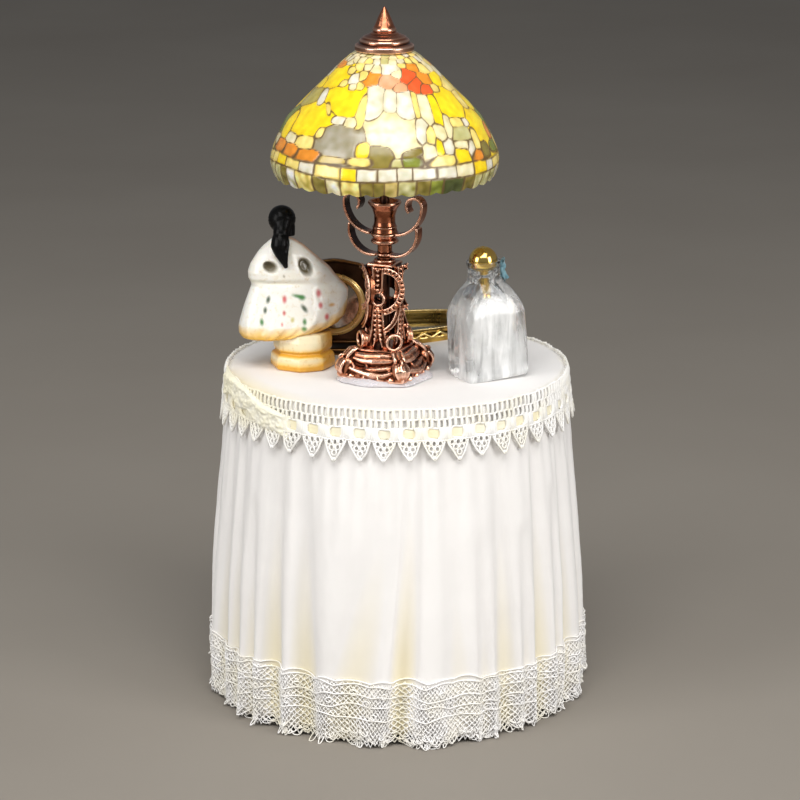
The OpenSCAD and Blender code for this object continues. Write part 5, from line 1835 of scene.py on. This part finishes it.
# level: height, half width, half depth, squareness
outside = [
    (0.02, 6.0, 4.1, 7), (0.25, 6.3, 4.4, 9), (0.9, 6.45, 4.55, 11), (7, 6.4, 4.5, 11),
    (12.2, 6.35, 4.45, 9), (13.4, 6.15, 4.3, 7), (15.0, 5.5, 3.95, 4.8), (16.4, 4.7, 3.6, 3.4),
    (17.4, 3.9, 3.35, 2.6), (18.1, 3.25, 3.15, 2.1), (19.1, 3.02, 3.02, 2), (20.8, 3.05, 3.05, 2),
    (21.5, 3.2, 3.2, 2), (lip, 3.12, 3.12, 2)
]
inside = [
    (lip, 2.92, 2.92, 2), (20.8, 2.72, 2.72, 2), (19.6, 2.2, 2.2, 2), (19.0, 1.5, 1.5, 2),
    (17.4, 1.45, 1.45, 2), (16.4, 2.2, 1.7, 2.6), (15.2, 3.1, 2.2, 3.5), (13.2, 3.7, 2.6, 5),
    (9, 4.1, 2.9, 6), (5, 4.9, 3.3, 6), (4.1, 4.7, 3.1, 5), (3.8, 3.6, 2.1, 4)
]


def levels(rows, count):
    rows = np.array(rows, float)
    run = np.concatenate([[0], np.cumsum(np.hypot(np.diff(rows[:, 0]), np.diff(rows[:, 1])))])
    return np.stack([np.interp(np.linspace(0, run[-1], count), run, rows[:, k]) for k in range(4)], -1)


outer_rings, ring_step = 70, 0.01
rings = np.concatenate([levels(outside, outer_rings), levels(inside, 60)])
bottle = turned("bottle", [(1, ring_step * k) for k in range(len(rings))], steps=160, smooth=40)
co = points_of(bottle) / mm
ring_of = np.rint(co[:, 2] / ring_step).astype(int)
angle = np.arctan2(co[:, 1], co[:, 0])
z, a, b, n = rings[ring_of].T
radius = ((np.abs(np.cos(angle)) / a) ** n + (np.abs(np.sin(angle)) / b) ** n) ** (-1 / n)
co = np.stack([radius * np.cos(angle), radius * np.sin(angle), z], -1)
co[:, :2] *= (1 + 0.012 * ripple(co[:, 0], co[:, 1], z, 4))[:, None]
inner_wall = ring_of >= outer_rings
edge = np.clip((np.abs(co[:, 0]) - 3.0) / 2.0, 0, 1) * np.clip((co[:, 2] - 1.2) / 1.5, 0, 1)
shoulder = np.clip((co[:, 2] - 14) / 2.2, 0, 1)
clear_at = (
    np.where(inner_wall, 0.22 + 0.75 * shoulder, 0.38 + 0.3 * edge + 0.55 * shoulder)
    + 0.34 * ripple(co[:, 0], co[:, 1], 0.3 * co[:, 2], 2.2)
)
milky = np.clip(clear_at, 0.08, 0.97)
at = in_bottle(co)
at[:, 2] = np.maximum(at[:, 2], table_top + 0.02 + 0.02 * co[:, 2].clip(0, 1))
move_points(bottle, at * mm)
paint(bottle, "milk", milky)
bpy.context.view_layer.objects.active = bottle
bottle.select_set(True)
bpy.ops.object.mode_set(mode="EDIT")
bpy.ops.mesh.select_mode(type="EDGE")
bpy.ops.mesh.select_all(action="DESELECT")
bpy.ops.mesh.select_non_manifold()
bpy.ops.mesh.edge_face_add()
bpy.ops.mesh.select_all(action="SELECT")
bpy.ops.mesh.normals_make_consistent(inside=False)
bpy.ops.mesh.select_mode(type="VERT")
bpy.ops.object.mode_set(mode="OBJECT")
bpy.ops.object.shade_smooth_by_angle(angle=math.radians(42))
bottle.select_set(False)
bottle.data.materials.append(glass)
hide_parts("bottle_glass")
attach(bottle, "table")

gold = metal(
    "bright_gold", (1.0, 0.63, 0.08), (0.85, 0.42, 0.02), (1.0, 0.85, 0.4), 0.13, 0.1, grain=700,
    cast=0.00003
)
bpy.ops.mesh.primitive_uv_sphere_add(segments=72, ring_count=48, radius=bead_r * mm)
bead = bpy.context.object
bead.name = "gold_bead"
co = points_of(bead) / mm
hole = np.clip(1 - np.hypot(co[:, 0], co[:, 1]) / 0.55, 0, 1)
co[:, 2] += lip - np.where(co[:, 2] > 0, 0.35 * hole, 0)
move_points(bead, in_bottle(co) * mm)
mark_hollows(bead, 0.13, 6)
bpy.ops.object.shade_smooth()
bead.select_set(False)
bead.data.materials.append(gold)
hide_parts("stopper_bead")
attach(bead, "stopper")
pin = turned(
    "bead_pin",
    [
        (0.02, 14.52), (0.62, 14.54), (0.85, 14.8), (pin_r, 15.2), (0.72, 15.6), (0.85, 16.0),
        (pin_r - 0.02, 16.6), (pin_r - 0.02, 20.0)
    ],
    steps=64
)
move_points(pin, in_bottle(points_of(pin) / mm) * mm)
mark_hollows(pin, 0.13, 4)
pin.data.materials.append(gold)
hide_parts("stopper_pin")
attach(pin, "stopper")

# the ribbon: a narrow band round the back of the neck, and a small upright bow with two cut ends
blue_satin = cotton("blue_satin", (0.22, 0.4, 0.46), (0.12, 0.26, 0.32), 3.0, 0.25, rough=0.38, sheen=0.5)


def strip(name, line, wide, thick=0.07):
    """Narrow ribbon run along a line of points, in millimetres, standing on edge."""
    curve = bpy.data.curves.new(name, "CURVE")
    curve.dimensions = "3D"
    curve.twist_mode = "Z_UP"
    curve.extrude, curve.bevel_depth, curve.bevel_resolution = wide * mm / 2, thick * mm / 2, 1
    spline = curve.splines.new("POLY")
    spline.points.add(len(line) - 1)
    spline.points.foreach_set("co", np.column_stack([np.asarray(line) * mm, np.ones(len(line))]).ravel())
    return as_mesh(name, curve)


tie_z = 19.6
loop = np.linspace(0, 2 * math.pi, 29)
behind = np.radians(np.linspace(-18, 128, 31))
ribbon_lines = [(np.stack([3.16 * np.cos(behind), 3.16 * np.sin(behind), tie_z + 0 * behind], -1), 0.55)]
for up in (-1, 1):
    ribbon_lines.append((
        np.stack(
            [3.6 + 0.7 * np.sin(loop / 2), 0.35 * np.sin(loop), tie_z + up * 0.95 * (1 - np.cos(loop))], -1
        ),
        0.8
    ))
    tail = np.linspace(0, 1, 10)
    ribbon_lines.append((
        np.stack([3.7 + 0.9 * tail, up * 0.7 * tail, 19.5 - (1.9 + 0.3 * up) * tail], -1), 0.6
    ))
ribbon_lines.append((np.stack([3.6 + 0.35 * np.cos(loop), 0.5 * np.sin(loop), tie_z + 0 * loop], -1), 0.9))
neck_bow = join("neck_ribbon_bow", [strip("ribbon", in_bottle(line), wide) for line, wide in ribbon_lines])
neck_bow.data.materials.clear()
neck_bow.data.materials.append(blue_satin)
co = points_of(neck_bow) / mm
lay_uv(neck_bow, co[:, :2] / 0.2 + co[:, 2:3] / 0.2)
paint(neck_bow, "stain_and_fold_shade", 0.5 + ripple(co[:, 0], co[:, 1], co[:, 2], 0.8))
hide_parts("neck_ribbon")
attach(neck_bow, "table")

# ---------------------------------------------------------------- oval tray
# A gilt oval plate with a looking glass let into it and a low gallery of S-scrolls soldered round the edge.
# The gilding is rubbed on the rails and dark between the scrolls.
gilt = metal(
    "antique_gilt", (0.62, 0.4, 0.1), (0.28, 0.15, 0.03), (0.98, 0.8, 0.42), 0.26, 0.75, grain=1400,
    cast=0.00005
)
tray_site = (*middle_of("tray_plate"), 20)
plate_top, rail_top = rise_of("tray_gallery")
half_long, half_wide, scrolls = 16.65, 7.65, 44
dress("tray_plate", gilt)
rim_turn = np.linspace(0, 2 * math.pi, 721)
rough_oval = [(half_long * math.cos(t), half_wide * math.sin(t)) for t in rim_turn]
length_round = np.concatenate([[0], np.cumsum(np.hypot(*np.diff(np.array(rough_oval), axis=0).T))])


def on_rim(run, rise, out):
    """A point of the gallery, in millimetres.
    run goes along the rim, rise is above the table top, and out is off the gallery's middle line."""
    t = np.interp(np.asarray(run, float) % length_round[-1], length_round, rim_turn)
    x, y = half_long * np.cos(t), half_wide * np.sin(t)
    nx, ny = half_wide * np.cos(t), half_long * np.sin(t)
    size = np.hypot(nx, ny)
    return placed(
        np.stack([x + out * nx / size, y + out * ny / size, np.broadcast_to(rise, x.shape)], -1), tray_site
    )


all_round = np.linspace(0, length_round[-1], 241)[:-1]
rails = [
    threads(
        "rail", [on_rim(all_round, rail_top - 0.25, 0.0), on_rim(all_round, rail_top - 0.75, -0.1)], 0.5,
        closed=True, sides=2
    ),
    threads("rail", [on_rim(all_round, plate_top + 0.12, 0.1)], 0.55, closed=True, sides=2),
    threads(
        "bead_line", [on_rim(all_round, rail_top - 0.12, 0.3)], 0.28, closed=True, sides=1,
        taper=np.tile([1.3, 0.8], 120)
    )
]
gap_round = length_round[-1] / scrolls
half_turn = np.linspace(-math.pi, math.pi, 13)
ess = []
for k in range(scrolls):
    flip = -1 if k % 2 else 1
    run = k * gap_round + flip * (0.75 * np.sin(half_turn * 0.5) + 0.5 * np.sin(half_turn * 1.5))
    rise = plate_top + 0.65 + 0.5 * np.sin(half_turn) * np.cos(half_turn * 0.25)
    ess.append(on_rim(run, rise, 0.1))
backing = strip(
    "backing", on_rim(np.append(all_round, 0), (plate_top + rail_top) / 2, -0.15),
    rail_top - plate_top - 0.3, 0.16
)
gallery = join(
    "tray_scroll_gallery",
    [*rails, backing, threads("ess", ess, 0.55, sides=1, taper=[0.6, 1.0, 1.1, 1.0, 0.6])]
)
gallery = casting("tray_scroll_gallery", [], [gallery], voxel=0.15, soften=1, rounds=6)
gallery.data.materials.append(gilt)
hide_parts("tray_gallery")
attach(gallery, "table")


def looking_glass(name, tint, cloud_amount):
    """Silvered glass: a tinted mirror with cloudy patches where the silvering has aged."""
    m = bpy.data.materials.new(name)
    m.use_nodes = True
    tree = m.node_tree
    skin = tree.nodes["Principled BSDF"]
    skin.label, skin.location = "silvered glass", (400, 0)
    skin.inputs["Metallic"].default_value = 1
    skin.inputs["Coat Weight"].default_value = 0.6
    skin.inputs["Coat Roughness"].default_value = 0.03
    where = tree.nodes.new("ShaderNodeTexCoord")
    where.label, where.location = "place on the glass", (-700, 0)
    cloud = tree.nodes.new("ShaderNodeTexNoise")
    cloud.label, cloud.location = "aged silvering", (-460, 0)
    cloud.inputs["Scale"].default_value = 260
    cloud.inputs["Detail"].default_value = 6
    tone = tree.nodes.new("ShaderNodeValToRGB")
    tone.label, tone.location = "dark spots in the silver", (-200, 120)
    tone.color_ramp.elements[0].position, tone.color_ramp.elements[0].color = (
        0.3, (*[c * 0.45 for c in tint], 1)
    )
    tone.color_ramp.elements[1].position, tone.color_ramp.elements[1].color = 0.55, (*tint, 1)
    film = tree.nodes.new("ShaderNodeMapRange")
    film.label, film.location = "film of dust", (-200, -140)
    film.inputs["To Min"].default_value, film.inputs["To Max"].default_value = 0.03, cloud_amount
    tree.links.new(where.outputs["Object"], cloud.inputs["Vector"])
    tree.links.new(cloud.outputs["Fac"], tone.inputs["Fac"])
    tree.links.new(cloud.outputs["Fac"], film.inputs["Value"])
    tree.links.new(tone.outputs["Color"], skin.inputs["Base Color"])
    tree.links.new(film.outputs["Result"], skin.inputs["Roughness"])
    return m


dress("tray_mirror", looking_glass("tray_glass", (0.045, 0.05, 0.045), 0.22))

# ---------------------------------------------------------------- swing mirror
# A round looking glass in a shaped bronze plate, hung on two gilt pins between turned posts on a flat foot.
# The bronze is nearly black with brown rubbed through on its edges, and the ring round the glass is gilt.
bronze = metal(
    "dark_bronze", (0.07, 0.035, 0.02), (0.03, 0.017, 0.01), (0.5, 0.27, 0.1), 0.3, 0.4, grain=1300,
    cast=0.00005
)
mirror_site = (*middle_of("mirror_stand"), 0)
pivot_z = (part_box("mirror_pivots")[0].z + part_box("mirror_pivots")[1].z) / 2 / mm - table_top
post_rise = rise_of("mirror_stand")[1]
posts = []
for side in (-1, 1):
    post = turned(
        "post",
        [
            (0.02, 1.0), (1.15, 1.1), (1.2, 1.5), (0.75, 1.8), (0.6, 2.6), (0.85, 4.2), (0.62, 6.0),
            (0.55, 7.6), (0.8, 8.2), (0.85, pivot_z), (0.8, 10.8), (0.5, 11.1), (0.55, 11.3), (0.8, 11.7),
            (0.78, 12.2), (0.4, post_rise - 0.05), (0.02, post_rise)
        ],
        centre=(side * 9.5, 0), steps=40, smooth=60
    )
    move_points(post, placed(points_of(post) / mm, mirror_site) * mm)
    posts.append(post)
foot_scrolls = threads(
    "foot_scrolls",
    [
        placed(
            [
                (side * (9.6 - 3.6 * t), 2.4 * math.sin(t * math.pi) * way, 1.3 + 0.1 * t)
                for t in np.linspace(0, 1, 11)
            ],
            mirror_site
        )
        for side in (-1, 1)
        for way in (-1, 1)
    ],
    0.7, sides=2, taper=[0.7, 1, 0.7]
)
stand = casting("mirror_stand_casting", ["mirror_stand"], [*posts, foot_scrolls], voxel=0.15, soften=3)
stand.data.materials.append(bronze)
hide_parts("mirror_stand")
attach(stand, "table")
dress("mirror_pivots", gilt)

pivot_at = (mirror_site[0], mirror_site[1], 0)
crest = [
    (x, -0.75, pivot_z + z)
    for x, z in (
        (-7.9, 5.6), (-7.2, 7.1), (-4.5, 8.0), (-2, 8.5), (0, 8.7), (2, 8.5), (4.5, 8.0), (7.2, 7.1),
        (7.9, 5.6)
    )
]
edge_line = [
    (x, -0.75, pivot_z + z)
    for x, z in ((-8.1, 5.0), (-8.1, -6.6), (-7.0, -7.3), (7.0, -7.3), (8.1, -6.6), (8.1, 5.0))
]
curls = [
    [
        (side * (6.3 + r * math.cos(t)), -0.7, pivot_z + corner_z + r * math.sin(t))
        for t, r in zip(np.linspace(0, 7.5, 17), np.linspace(0.9, 0.25, 17))
    ]
    for side in (-1, 1)
    for corner_z in (5.6, -5.6)
]
trims = threads("trims", [placed(line, pivot_at) for line in (crest, edge_line, *curls)], 0.62, sides=2)
plate = casting("mirror_plate_casting", ["mirror_frame"], [trims], voxel=0.13, soften=2, rounds=8)
plate.data.materials.append(bronze)
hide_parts("mirror_frame")
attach(plate, "mirror")
ring_points = np.linspace(0, 2 * math.pi, 73)[:-1]
ring_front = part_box("mirror_bezel")[0].y / mm - mirror_site[1]
amber_gilt = metal(
    "amber_gilt", (0.72, 0.4, 0.07), (0.4, 0.18, 0.02), (0.98, 0.75, 0.35), 0.25, 0.3, grain=900,
    cast=0.00005
)
bezel = join(
    "mirror_ring",
    [
        threads(
            "ring",
            [
                placed(
                    [(r * math.cos(t), ring_front + 0.45, pivot_z + r * math.sin(t)) for t in ring_points],
                    pivot_at
                )
            ],
            thick, closed=True, sides=3
        )
        for r, thick in ((5.0, 0.6), (5.4, 0.95), (5.8, 0.6))
    ]
)
mark_hollows(bezel, 0.2, 3)
bezel.data.materials.clear()
bezel.data.materials.append(amber_gilt)
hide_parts("mirror_bezel")
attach(bezel, "mirror")
dress("mirror_glass", looking_glass("round_glass", (0.2, 0.17, 0.14), 0.2))
dress("mirror_back", birch("mirror_backboard", (0.2, 0.13, 0.08), (0.12, 0.08, 0.05), 1.5))
